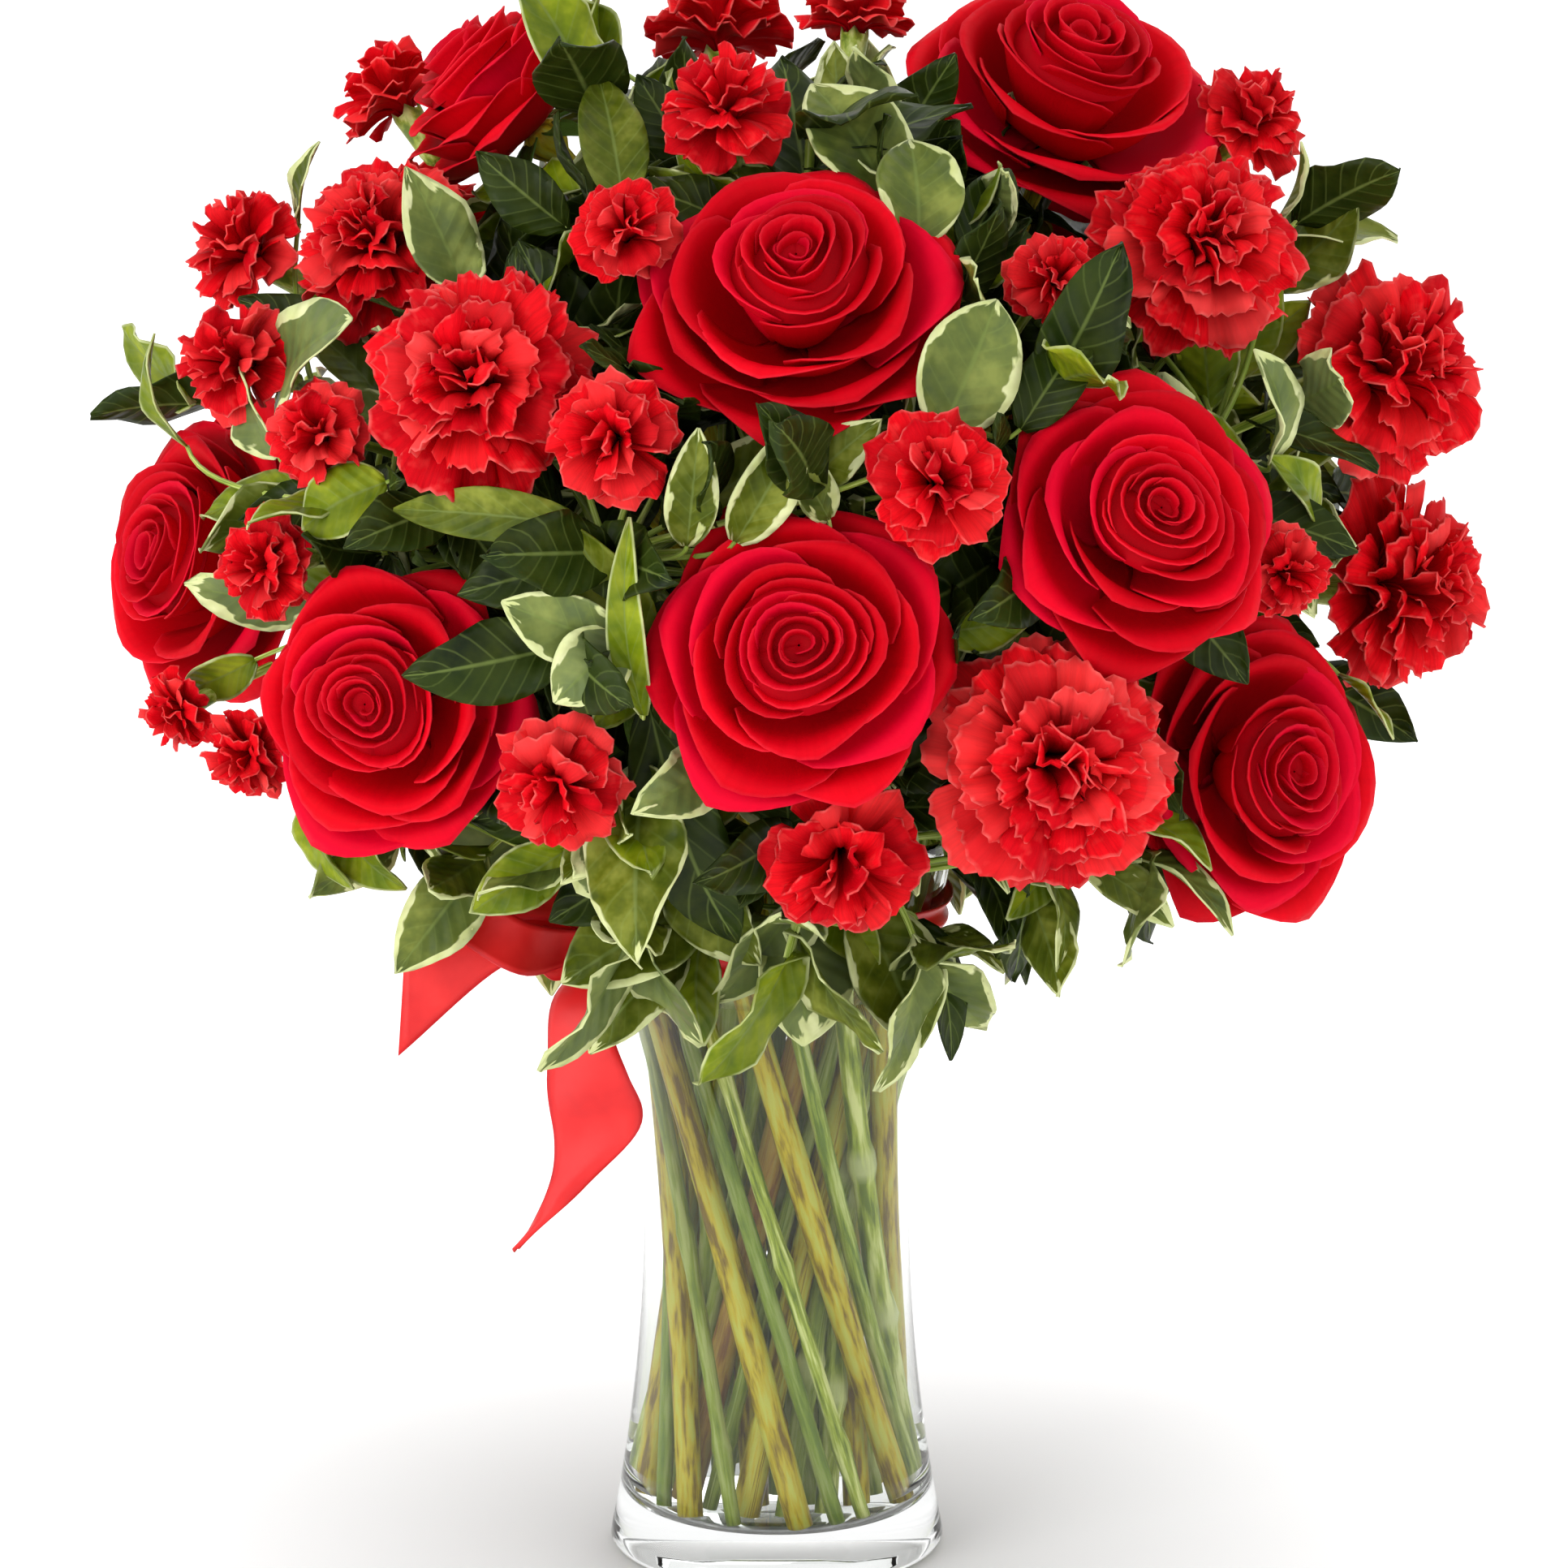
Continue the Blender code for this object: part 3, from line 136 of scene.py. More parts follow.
STEM_STRAIGHT = 165.0

# Ribbon: a band tied round the neck, and a bow at the front left. Each strip of the bow
# is given by points along its two edges
BAND_LOW = 170.0
BAND_HIGH = 185.0
BAND_THICK = 2.0
KNOT = (-45.6, -28.0, 178.0)
LOOP = (((-47, -27, 183), (-60, -28, 202), (-74, -33, 203), (-84, -43, 199), (-78, -53, 196),
         (-64, -54, 188), (-49, -34, 181)),
        ((-47, -33, 177), (-60, -42, 186), (-75, -47, 187), (-86, -55, 188), (-80, -61, 183),
         (-66, -59, 175), (-50, -36, 174)))
TAIL_ONE = (((-48, -30, 182), (-64, -40, 188), (-85, -46, 191), (-98, -50, 182)),
            ((-48, -34, 175), (-58, -44, 170), (-71, -50, 176), (-100, -54, 152)))
TAIL_TWO = (((-50, -34, 176), (-59, -42, 164), (-61, -50, 146), (-59, -53, 129), (-61, -55, 114),
             (-70, -57, 99)),
            ((-46, -37, 174), (-45, -52, 162), (-39, -55, 147), (-36, -56, 133), (-51, -57, 117),
             (-68, -58, 100)))

# Stems: their radii, and how much stouter those of roses and carnations are in the water
ROSE_STEM = 2.7
CARNATION_STEM = 2.2
STEM_RADII = {"rose": ROSE_STEM, "carnation": CARNATION_STEM, "spray": 2.0, "pittosporum": 2.2}
FOOT_SHARE = 1.35
# The outer ring's stems stray a little from even places: seed, and degrees at foot and top
SWAY_SEED = 226
SWAY_FOOT = 9.0
SWAY_TOP = 7.0
SWAY_RING = 30.0
# Side branches: their radius, how far up the stem each leaves it and how much it heads for
# its end at once
BRANCH = 1.3
BRANCH_STARTS = (0.42, 0.54, 0.66)
BRANCH_OUTWARD = 0.8
# The gap that stems and branches keep, the points of their faceted solids, the least length
# that a stem's bend is reckoned from, and the points that stand for them in the crowd
CLEARANCE = 1.6
STEM_STEPS = 5
BRANCH_STEPS = 4
STEM_PULL = 90.0
LINE_POINTS = 50
CURVE_POINTS = 60
TRIAL_POINTS = 30
FACET_SHARES = (0.25, 0.5, 0.75)

# Ways to bend a stem, tried in turn: sideways, and the pull at its start and at its end
BENDS = (0, 8, -8, 16, -16, 26, -26, 38, -38)
START_BEND = 0.6
CLIMBS = (0.4, 0.55, 0.75, 0.25, 1.0)
REACHES = (0.35, 0.2, 0.5, 0.7)

# Blooms at full size, in their own frame: they sit at the origin and open along +Z
ROSE_WIDTH = 78.0
ROSE_MIDDLE = 22.0
CARNATION_WIDTH = 66.0
CARNATION_MIDDLE = 15.0
SMALL_WIDTH = 34.0
SMALL_MIDDLE = 9.0
# How far under its bloom a rose's stem ends, the calyxes, and the turn from bloom to bloom
ROSE_HIP = 13.0
CALYX = 25.0
CALYX_RADIUS = 6.3
SMALL_CALYX = 14.0
SPIN = 47.0
SMALL_SPIN = 31.0

# Small heads further forward than the reach, in mm, turn their faces a little to the front
FRONT_REACH = 35.0
FRONT_PULL = 0.55

# Spheres that stand for each bloom when room is looked for: how many in a ring, the ring's
# radius and height, and their own radius, at full size
ROSE_SPHERES = ((12, 30.0, 16.0, 9.5), (8, 17.0, 21.0, 12.0), (1, 0.0, 16.0, 13.0))
CARNATION_SPHERES = ((10, 23.0, 15.0, 11.0), (6, 10.0, 22.0, 12.0))
SMALL_SPHERES = ((6, 8.0, 9.0, 9.5), (1, 0.0, -6.0, 5.0))
NECK_LEVELS = (166, 172, 178, 184, 190, 196, 202)
NECK_SPHERES = 72
NECK_SPHERE = 2.4
BOW_SHARES = (0.0, 0.25, 0.5, 0.75, 1.0)
BOW_STEPS = 18
BOW_SPHERE = 3.5
KNOT_SPHERE = 9.0
FAR = 40.0

# Leaf blade: its width and its curves as shares of its length, how fast its arch falls to
# the tip, the waves of its two halves and the fullness of its outline
LEAF_WIDTH = 0.46
LEAF_ARCH = 0.16
ARCH_FALL = 1.6
LEAF_FOLD = 0.10
LEAF_WAVE = 0.045
HALF_WAVES = (3.0, 3.6)
LEAF_SHOULDER = 0.85
LEAF_ROUND = 0.8
# Leaves on a twig: the first one's place and tilt, then the turn from leaf to leaf, give or
# take some degrees
LEAF_SEED = 7
FIRST_LEAF = 0.985
FIRST_TILT = (5, 50)
GOLDEN_TURN = 137.5
TURN_STRAY = 30
# How a leaf finds its place: the step back along its twig, the points that the twig is read
# at, the tries and the turn between them, how much shorter it gets, the ranges of its tilt
# and of its length, the balls that look for room and that take it, every how many samples,
# and the least gap
LEAF_RULE = {"step": 0.035, "points": 200, "tries": 60, "turn": 25, "shorter": 0.35,
             "tilt": (20, 70), "length": (0.92, 1.08), "look": 0.5, "take": 1.5, "every": 1,
             "gap": 1.5}
FILL_RULE = {"step": 0.11, "points": 100, "tries": 16, "turn": 40, "shorter": 0.4,
             "tilt": (35, 85), "length": (0.85, 1.1), "look": 0.2, "take": 0.4, "every": 3,
             "gap": 1.2}
EVERYWHERE = (-np.inf, np.inf)
# Places on a blade, along and across it, that stand for it in the crowd
LEAF_GRID = [(u, v) for u in (0.3, 0.45, 0.6, 0.75) for v in (-0.9, 0, 0.9)]
LEAF_GRID += [(0.88, -0.7), (0.88, 0.7), (1.0, 0)]


def unit(vector):
    """The vector at length one."""
    return vector / np.linalg.norm(vector)


def heading(azimuth, elevation):
    """The direction for an azimuth from the front (-Y) and an elevation, in degrees."""
    a = math.radians(azimuth)
    e = math.radians(elevation)
    return np.array((math.sin(a) * math.cos(e), -math.cos(a) * math.cos(e), math.sin(e)))


def on_dome(azimuth, elevation, reach=1.0):
    """A point of the dome; a reach under 1 is inside it."""
    return DOME_CENTRE + DOME_HALF * heading(azimuth, elevation) * reach


def dome_normal(point):
    """The dome's outward direction at a point."""
    return unit((point - DOME_CENTRE) / DOME_HALF ** 2)


def vase_radius(z):
    """Outer radius of the glass at a height: two parabolas that meet at the waist."""
    if z < WAIST_HEIGHT:
        return WAIST_RADIUS + (BASE_RADIUS - WAIST_RADIUS) * (1 - z / WAIST_HEIGHT) ** 2
    rise = (z - WAIST_HEIGHT) / (VASE_HEIGHT - WAIST_HEIGHT)
    return WAIST_RADIUS + (MOUTH_RADIUS - WAIST_RADIUS) * rise ** 2


def frame_of(axis, spin=0.0):
    """A 3x3 array whose rows are two sideways directions and the axis itself."""
    side = np.cross(axis, (0.0, 0.0, 1.0))
    if np.linalg.norm(side) < 0.01:
        side = np.array((1.0, 0.0, 0.0))
    side = unit(side)
    other = np.cross(axis, side)
    a = math.radians(spin)
    turned = side * math.cos(a) + other * math.sin(a)
    return np.array((turned, np.cross(axis, turned), axis))


def spread(controls, t):
    """A cubic curve's place, or its value, at a share or an array of shares."""
    a, b, c, d = controls
    return (1 - t) ** 3 * a + 3 * t * (1 - t) ** 2 * b + 3 * t ** 2 * (1 - t) * c + t ** 3 * d


def slope(controls, t):
    """A third of a cubic curve's rate of change at a share or an array of shares."""
    a, b, c, d = controls
    return (1 - t) ** 2 * (b - a) + 2 * t * (1 - t) * (c - b) + t ** 2 * (d - c)


def bezier(controls, count):
    """Points along a cubic curve, with its ends."""
    return spread(controls, np.linspace(0.0, 1.0, count)[:, None])


def bezier_heading(controls, t):
    """The direction of a cubic curve at a share of its way."""
    return unit(slope(controls, t))


def route_samples(controls, steps):
    """Points along the smooth curve and along its faceted version."""
    corners = bezier(controls, steps)
    straight = [corners[:-1] + (corners[1:] - corners[:-1]) * share for share in FACET_SHARES]
    return np.vstack((bezier(controls, TRIAL_POINTS), *straight))


def nearest_on(points, place):
    """The nearest point of a path made of straight stretches."""
    best = points[-1]
    for a, b in zip(points, points[1:]):
        share = np.dot(place - a, b - a) / np.dot(b - a, b - a)
        here = a + (b - a) * min(max(share, 0.0), 1.0)
        if np.linalg.norm(place - here) < np.linalg.norm(place - best):
            best = here
    return best


class Crowd:
    """Spheres that stand for what is already placed, so that what comes next keeps clear."""

    def __init__(self):
        self.centres = np.zeros((0, 3))
        self.radii = np.zeros(0)
        self.owners = np.zeros(0, dtype=int)
        self.names = []

    def number(self, owner):
        """The number that stands for an owner's name."""
        if owner not in self.names:
            self.names.append(owner)
        return self.names.index(owner)

    def add(self, owner, centres, radius):
        """Stand spheres of one radius at the centres."""
        centres = np.atleast_2d(centres)
        self.centres = np.vstack((self.centres, centres))
        self.radii = np.append(self.radii, np.full(len(centres), radius))
        self.owners = np.append(self.owners, np.full(len(centres), self.number(owner)))

    def gap(self, owner, centres, radius):
        """The smallest gap between spheres at the centres and those of other owners."""
        low = centres.min(axis=0) - FAR
        high = centres.max(axis=0) + FAR
        near = np.all((self.centres > low) & (self.centres < high), axis=1)
        near &= self.owners != self.number(owner)
        if not near.any():
            return FAR
        away = np.linalg.norm(self.centres[near][None, :, :] - centres[:, None, :], axis=2)
        return float((away - self.radii[near][None, :]).min()) - radius


def ring_of_points(base, axes, radius, height, count):
    """Points on a circle round an axis, at a height along it."""
    turns = np.arange(count) * 2 * math.pi / count
    across = np.outer(np.cos(turns), axes[0]) + np.outer(np.sin(turns), axes[1])
    return base + across * radius + axes[2] * height


def add_bloom(crowd, name, bloom, spheres):
    """Stand the spheres of a bloom in the crowd."""
    base, axes, size = bloom
    for count, radius, height, ball in spheres:
        ring = ring_of_points(base, axes, radius * size, height * size, count)
        crowd.add(name, ring, ball * size)


def place_blooms(crowd):
    """Where each bloom's base is, its axes and its scale, by the flower's name."""
    blooms = {}
    for rows, width, middle, spheres in (
            (ROSES, ROSE_WIDTH, ROSE_MIDDLE, ROSE_SPHERES),
            (CARNATIONS, CARNATION_WIDTH, CARNATION_MIDDLE, CARNATION_SPHERES)):
        for k, (name, row) in enumerate(rows.items()):
            size = row[3] / width
            axes = frame_of(heading(row[4], row[5]), k * SPIN)
            base = on_dome(*row[:3]) - axes[2] * middle * size
            blooms[name] = (base, axes, size)
            add_bloom(crowd, name, blooms[name], spheres)
            if rows is CARNATIONS:
                calyx = base - np.outer(np.arange(1, 6) * CALYX / 5, axes[2])
                crowd.add(name, calyx, CALYX_RADIUS)
    return blooms


def place_small_heads(crowd):
    """The heads of each spray: base, axes and scale."""
    heads = {}
    for name, rows in SPRAY_CARNATIONS.items():
        heads[name] = []
        for k, row in enumerate(rows):
            middle = on_dome(*row[:3])
            facing = dome_normal(middle)
            if middle[1] < FRONT_REACH:
                facing = unit(facing - (0.0, FRONT_PULL, 0.0))
            axes = frame_of(facing, k * SMALL_SPIN)
            size = row[3] / SMALL_WIDTH
            head = (middle - axes[2] * SMALL_MIDDLE * size, axes, size)
            heads[name].append(head)
            add_bloom(crowd, name, head, SMALL_SPHERES)
    return heads


def place_glass(crowd):
    """Stand spheres for the neck of the glass, which stems pass inside and leaves outside."""
    level = frame_of(np.array((0.0, 0.0, 1.0)))
    rings = [(vase_radius(z) - GLASS_WALL / 2, z) for z in NECK_LEVELS]
    rings += [(vase_radius(z) + BAND_THICK / 2, z) for z in (BAND_LOW, BAND_HIGH)]
    for radius, z in rings:
        ring = ring_of_points(np.zeros(3), level, radius, z, NECK_SPHERES)
        crowd.add("vase", ring, NECK_SPHERE)


def place_bow(crowd):
    """Stand spheres for the bow and its tails."""
    for rail_a, rail_b in (LOOP, TAIL_ONE, TAIL_TWO):
        first = smooth_route(rail_a, BOW_STEPS)
        second = smooth_route(rail_b, BOW_STEPS)
        for share in BOW_SHARES:
            crowd.add("ribbon", first + (second - first) * share, BOW_SPHERE)
    crowd.add("ribbon", np.array(KNOT), KNOT_SPHERE)


def smooth_route(points, count):
    """A smooth curve through a few points, read at even steps."""
    points = np.array(points, dtype=float)
    ends = np.vstack((2 * points[0] - points[1], points, 2 * points[-1] - points[-2]))
    share = np.linspace(0.0, len(points) - 1.0, count)
    k = np.minimum(share.astype(int), len(points) - 2)
    t = (share - k)[:, None]
    a, b, c, d = (ends[k + i] for i in range(4))
    return 0.5 * (2 * b + (c - a) * t + (2 * a - 5 * b + 4 * c - d) * t ** 2
                  + (3 * b - a - 3 * c + d) * t ** 3)


def stem_lines():
    """The straight stretch of each stem in the vase: its foot and its top."""
    lines = {}
    draw = random.Random(SWAY_SEED)
    for foot_radius, top_radius, lean, first, names in STEM_RINGS:
        strays = foot_radius > SWAY_RING
        for k, name in enumerate(names):
            azimuth = first + k * 360.0 / len(names)
            top_turn = azimuth + strays * draw.uniform(-SWAY_TOP, SWAY_TOP)
            foot_turn = azimuth - lean + strays * draw.uniform(-SWAY_FOOT, SWAY_FOOT)
            foot = heading(foot_turn, 0) * foot_radius
            top = heading(top_turn, 0) * top_radius
            lines[name] = (foot + (0, 0, STEM_FOOT), top + (0, 0, STEM_STRAIGHT))
    return lines


def clear_route(crowd, name, start, leave, end, arrive, radius, steps, least=0.0):
    """Controls of a curve that keeps clear of the crowd: the straightest that does."""
    span = max(float(np.linalg.norm(end - start)), least)
    side = frame_of(unit(end - start))[0]
    best = None
    best_gap = -math.inf
    for bend in BENDS:
        for climb in CLIMBS:
            for reach in REACHES:
                controls = (start, start + leave * climb * span + side * bend * START_BEND,
                            end - arrive * reach * span + side * bend, end)
                gap = crowd.gap(name, route_samples(controls, steps), radius)
                if gap > CLEARANCE:
                    return controls
                if gap > best_gap:
                    best = controls
                    best_gap = gap
    return best


def route_stems(crowd, blooms, heads):
    """The curve of each main stem from the top of its straight stretch to what it holds."""
    lines = stem_lines()
    for name, (foot, top) in lines.items():
        steps = np.linspace(0.0, 1.0, LINE_POINTS)[:, None]
        crowd.add(name, foot + (top - foot) * steps, stem_radius(name) * foot_share(name))
    routes = {}
    for ring in STEM_RINGS:
        for name in ring[4]:
            foot, top = lines[name]
            end, arrive = stem_end(name, 0, blooms, heads)
            radius = stem_radius(name)
            routes[name] = clear_route(crowd, name, top, unit(top - foot), end, arrive, radius,
                                       STEM_STEPS, STEM_PULL)
            crowd.add(name, route_samples(routes[name], STEM_STEPS), radius)
            crowd.add(name, bezier(routes[name], CURVE_POINTS), radius)
    return lines, routes


def stem_end(name, k, blooms, heads):
    """Where a plant's stem, or its kth twig, ends under its flower, and its direction there."""
    if name in GREENS:
        end = on_dome(*GREENS[name][k][:3])
        return end, dome_normal(end)
    if name in heads:
        base, axes, size = heads[name][k]
        return base - axes[2] * SMALL_CALYX * size, axes[2]
    base, axes, _ = blooms[name]
    return base - axes[2] * (CALYX if name in CARNATIONS else ROSE_HIP), axes[2]


def stem_radius(name):
    """The stem's radius for the kind of plant."""
    return STEM_RADII[name.split("_")[0]]


def foot_share(name):
    """How much stouter the stem is in the water."""
    return FOOT_SHARE if name in ROSES or name in CARNATIONS else 1.0


def route_branches(crowd, heads, routes):
    """The side branches of every spray, each with the place that it leaves the stem from."""
    branches = {}
    for name, rows in {**SPRAY_CARNATIONS, **GREENS}.items():
        branches[name] = []
        main = routes[name]
        for k, share in zip(range(1, len(rows)), BRANCH_STARTS):
            end, arrive = stem_end(name, k, {}, heads)
            start = nearest_on(bezier(main, STEM_STEPS), bezier(main, 101)[int(share * 100)])
            leave = unit(bezier_heading(main, share) + unit(end - start) * BRANCH_OUTWARD)
            controls = clear_route(crowd, name, start, leave, end, arrive, BRANCH, BRANCH_STEPS)
            crowd.add(name, route_samples(controls, BRANCH_STEPS), BRANCH)
            branches[name].append(controls)
    return branches


def leaf_point(u, v, length, phase):
    """A point of a blade lying along +X, at u from root to tip and v from edge to edge."""
    swell = math.sin(math.pi * min(1.0, u) ** LEAF_SHOULDER) ** LEAF_ROUND
    width = LEAF_WIDTH * length / 2 * swell
    lift = LEAF_ARCH * (u - ARCH_FALL * u * u) + LEAF_FOLD * abs(v) * (1 - u)
    waves = HALF_WAVES[0] if v > 0 else HALF_WAVES[1]
    lift += LEAF_WAVE * v * v * math.sin(waves * math.pi * u + phase)
    return np.array((u * length, v * width, lift * length))


def leaf_frame(root, axis, turn, tilt):
    """Rows: along the leaf, across it and up from its face, and the root."""
    sideways = frame_of(axis, turn)[0]
    t = math.radians(tilt)
    along = axis * math.cos(t) + sideways * math.sin(t)
    across = np.cross(axis, sideways)
    up = np.cross(along, across)
    if np.dot(up, axis) < 0:
        across = -across
        up = -up
    return np.array((along, across, up)), root


def leaf_samples(frame, length, phase):
    """Points over the blade, past its stalk, for the crowd."""
    axes, root = frame
    return np.array([root + leaf_point(u, v, length, phase) @ axes for u, v in LEAF_GRID])


def place_leaves(crowd, routes, branches):
    """The leaves of each green spray that find room: frame, length and wave phase."""
    leaves = {}
    for number, (name, rows) in enumerate(GREENS.items()):
        draw = random.Random(LEAF_SEED + number)
        leaves[name] = []
        for row, twig in zip(rows, [routes[name]] + branches[name]):
            for k in range(row[3]):
                leaf = find_leaf(crowd, name, twig, row[4], k, draw, LEAF_RULE, EVERYWHERE)
                if leaf is not None:
                    leaves[name].append(leaf)
    return leaves


def find_leaf(crowd, name, twig, full_length, k, draw, rule, box):
    """The first place round the twig's end where its kth leaf is clear and inside the box."""
    back = FIRST_LEAF - rule["step"] * k
    root = bezier(twig, rule["points"] + 1)[int(back * rule["points"])]
    axis = bezier_heading(twig, back)
    for attempt in range(rule["tries"]):
        turn = k * GOLDEN_TURN + draw.uniform(-TURN_STRAY, TURN_STRAY) + attempt * rule["turn"]
        tilt = draw.uniform(*(rule["tilt"] if k else FIRST_TILT))
        shorter = 1.0 - rule["shorter"] * attempt / rule["tries"]
        length = full_length * shorter * draw.uniform(*rule["length"])
        phase = draw.uniform(0, 2 * math.pi)
        frame = leaf_frame(root, axis, turn, tilt)
        samples = leaf_samples(frame, length, phase)
        inside = np.all(samples > box[0]) and np.all(samples < box[1])
        if inside and crowd.gap(name, samples, rule["look"]) > rule["gap"]:
            crowd.add(name + " leaf", samples[::rule["every"]], rule["take"])
            return frame, length, phase
    return None


def lay_out(crowd):
    """Everything's place, each found clear of what came before."""
    place_glass(crowd)
    place_bow(crowd)
    blooms = place_blooms(crowd)
    heads = place_small_heads(crowd)
    lines, routes = route_stems(crowd, blooms, heads)
    branches = route_branches(crowd, heads, routes)
    leaves = place_leaves(crowd, routes, branches)
    return blooms, heads, lines, routes, branches, leaves


# Extra leaves that fill the gaps: how many directions are tried and how far down the dome,
# the leaves on each twig, the shortest twig and how far the leaves stay inside the solids'
# box. Then for each layer its reach, the room it needs, the leaves' length and the shares
# of dark and of bright ones; the dark ones are painted shade, most of them in the deeper layer
FILL_SEED = 11
FILL_COUNT = 150
FILL_DEPTH = 1.62
FILL_LEAVES = 5
FILL_TWIG = 12.0
FILL_BOX = 1.0
FILL_LAYERS = ((0.86, 6.0, 34.0, 0.5, 0.2), (0.68, 9.0, 44.0, 0.9, 0.05))
# Where a twig may leave a green stem: out of how many points of its curve, which ones, how
# steeply down it may head, and how many mm further away a steeper one counts
TWIG_POINTS = 60
TWIG_CHOICE = (14, 56, 3)
TWIG_DROP = -0.2
TWIG_SETBACK = 25.0

# Camera: it looks at the middle of the bouquet from the front, a little from above
CAMERA_TARGET = (0.002, 0.0, 0.214)
CAMERA_DISTANCE = 1.6
CAMERA_TILT = 12.0
CAMERA_LENS = 135.5

# Each light: its place, the height it is aimed at, its size and its power
LIGHTS = {"key": ((-1.7, -1.8, 1.05), 0.25, 1.5, 25.0),
          "fill": ((1.6, -1.2, 0.9), 0.2, 1.4, 3.5),
          "back": ((0.5, 1.7, 1.4), 0.25, 1.2, 6.0)}
FLOOR_REACH = 6.0
FLOOR_DROP = 0.0004

# Seeds of the roses, of the carnations, of the sprays and, counted on from these, of stems
ROSE_SEED = 100
CARNATION_SEED = 300
SPRAY_SEED = 500
STEM_SEED = 100
GREEN_SEED = 13

# Thickness of petals, leaves and ribbon
PETAL_THICK = 0.4
LEAF_THICK = 0.5
RIBBON_THICK = 0.4
# How closely the satin's threads lie across and along it
THREADS = (260.0, 900.0)

# Rose: the petals wound round its heart, then layers of broad petals that bend back to
# points. Each layer: how many, the radius and height of their rims, their half angle in
# degrees and how far they roll back
HEART_PETALS = 15
HEART_RADII = (2.0, 20.5)
HEART_HEIGHT = 33.0
HEART_ANGLES = (125.0, 66.0)
HEART_ROLL = 0.22
BROAD_LAYERS = ((5, 27.0, 27.0, 58.0, 0.62), (5, 33.5, 20.5, 50.0, 0.85),
                (6, 38.5, 13.0, 43.0, 1.0))
ROSE_REACH = 38.5
ROSE_GRID = (10, 13)
# Roses that are less open, over what radius they close, and roses that are fuller
ROSE_CLOSED = {"rose_01": 0.88}
CLOSING_REACH = 38.0
ROSE_SWELL = {"rose_01": 1.06, "rose_06": 1.07}
# How far a rose's whorls are out of round, up to which radius, and the bud deep inside its
# heart: the height and the radius of its dome, and how much it falls to its edge
WHORL_WARP = (0.10, 0.06)
WHORL_REACH = 1.85
BUD = (29.5, 17.0, 5.0)
BUD_GRID = (5, 21)

# Carnation: for each layer the number of petals, the radius and height of their rims
# and their half width; then the same for a small head
CARNATION_LAYERS = ((8, 32.5, 6.0, 16.5), (8, 31.0, 14.0, 16.0), (8, 27.0, 22.0, 14.5),
                    (8, 20.5, 28.0, 12.5), (7, 13.0, 31.5, 11.0), (4, 5.5, 33.0, 9.0))
CARNATION_GRID = (7, 17)
CARNATION_RUFFLE = 3.4
CARNATION_FOOT = 1.6
SMALL_LAYERS = ((7, 16.8, 3.0, 8.8), (7, 15.6, 8.5, 8.4), (6, 11.5, 13.5, 7.4), (4, 5.5, 16.8, 6.2))
SMALL_GRID = (6, 11)
SMALL_RUFFLE = 2.0
SMALL_FOOT = 1.0

# Green of the stems: points in and above the vase for each kind, and how far above it a
# stout stem slims down. Further on, the hip of a rose as heights and radii, its sepals and
# its thorns
STEM_POINTS = {"rose": (14, 34), "carnation": (40, 60), "spray": (30, 40), "pittosporum": (20, 40)}
STOUT_SHARE = 0.25
# Sides of stout stems, of slim ones, of branches, and of twigs and thorns; then the points
# of branches and twigs, and the tone of their bark
STOUT_SIDES = 12
SLIM_SIDES = 10
BRANCH_SIDES = 8
TWIG_SIDES = 6
BRANCH_ROWS = 24
TWIG_ROWS = 16
WOOD_TONE = 0.3
HIP = ((-10.0, 3.0), (-8.0, 4.6), (-5.5, 6.0), (-3.0, 6.4), (-1.2, 5.4), (-0.4, 4.2))
SEPALS = 5
SEPAL_LENGTH = 19.0
THORN_STEP = 23.0
THORN = ((0.7 * ROSE_STEM, 0.0, 1.7), (1.4 + ROSE_STEM, 0.5, 0.9), (3.2 + ROSE_STEM, 1.8, 0.1))
# A carnation's joints: how much and over what length they swell, how far apart they are,
# and how far along the stem leaves and thorns start
JOINT_SWELL = 0.42
JOINT_LENGTH = 4.2
JOINT_STEPS = (48.0, 66.0)
ABOVE_VASE = 190.0
STEM_END = 30.0
CALYX_ROWS = ((-1.0, 0.42), (-0.93, 0.66), (-0.75, 0.80), (-0.45, 0.88), (-0.15, 0.98))

# Leaves. Below the collar's top they face away from the vase's axis
COLLAR_TOP = 222.0
LEAF_ROWS = 11
LEAF_COLUMNS = 9
FILLER_GRID = (9, 7)
LEAF_BROADER = 1.16
# The cream margin in mm: its width on a leaf of this tone, how much wider it is on a paler
# one and how much it wanders
MARGIN_WIDE = -4.9
MARGIN_TONE = 0.85
MARGIN_PALER = 5.0
MARGIN_WANDER = 12.0
# A shaded hollow at the front left, where the leaves of the solids are dark
QUIET_PLACE = (-48.0, -115.0, 284.0)
QUIET_REACH = 38.0
QUIET_TONE = 0.2
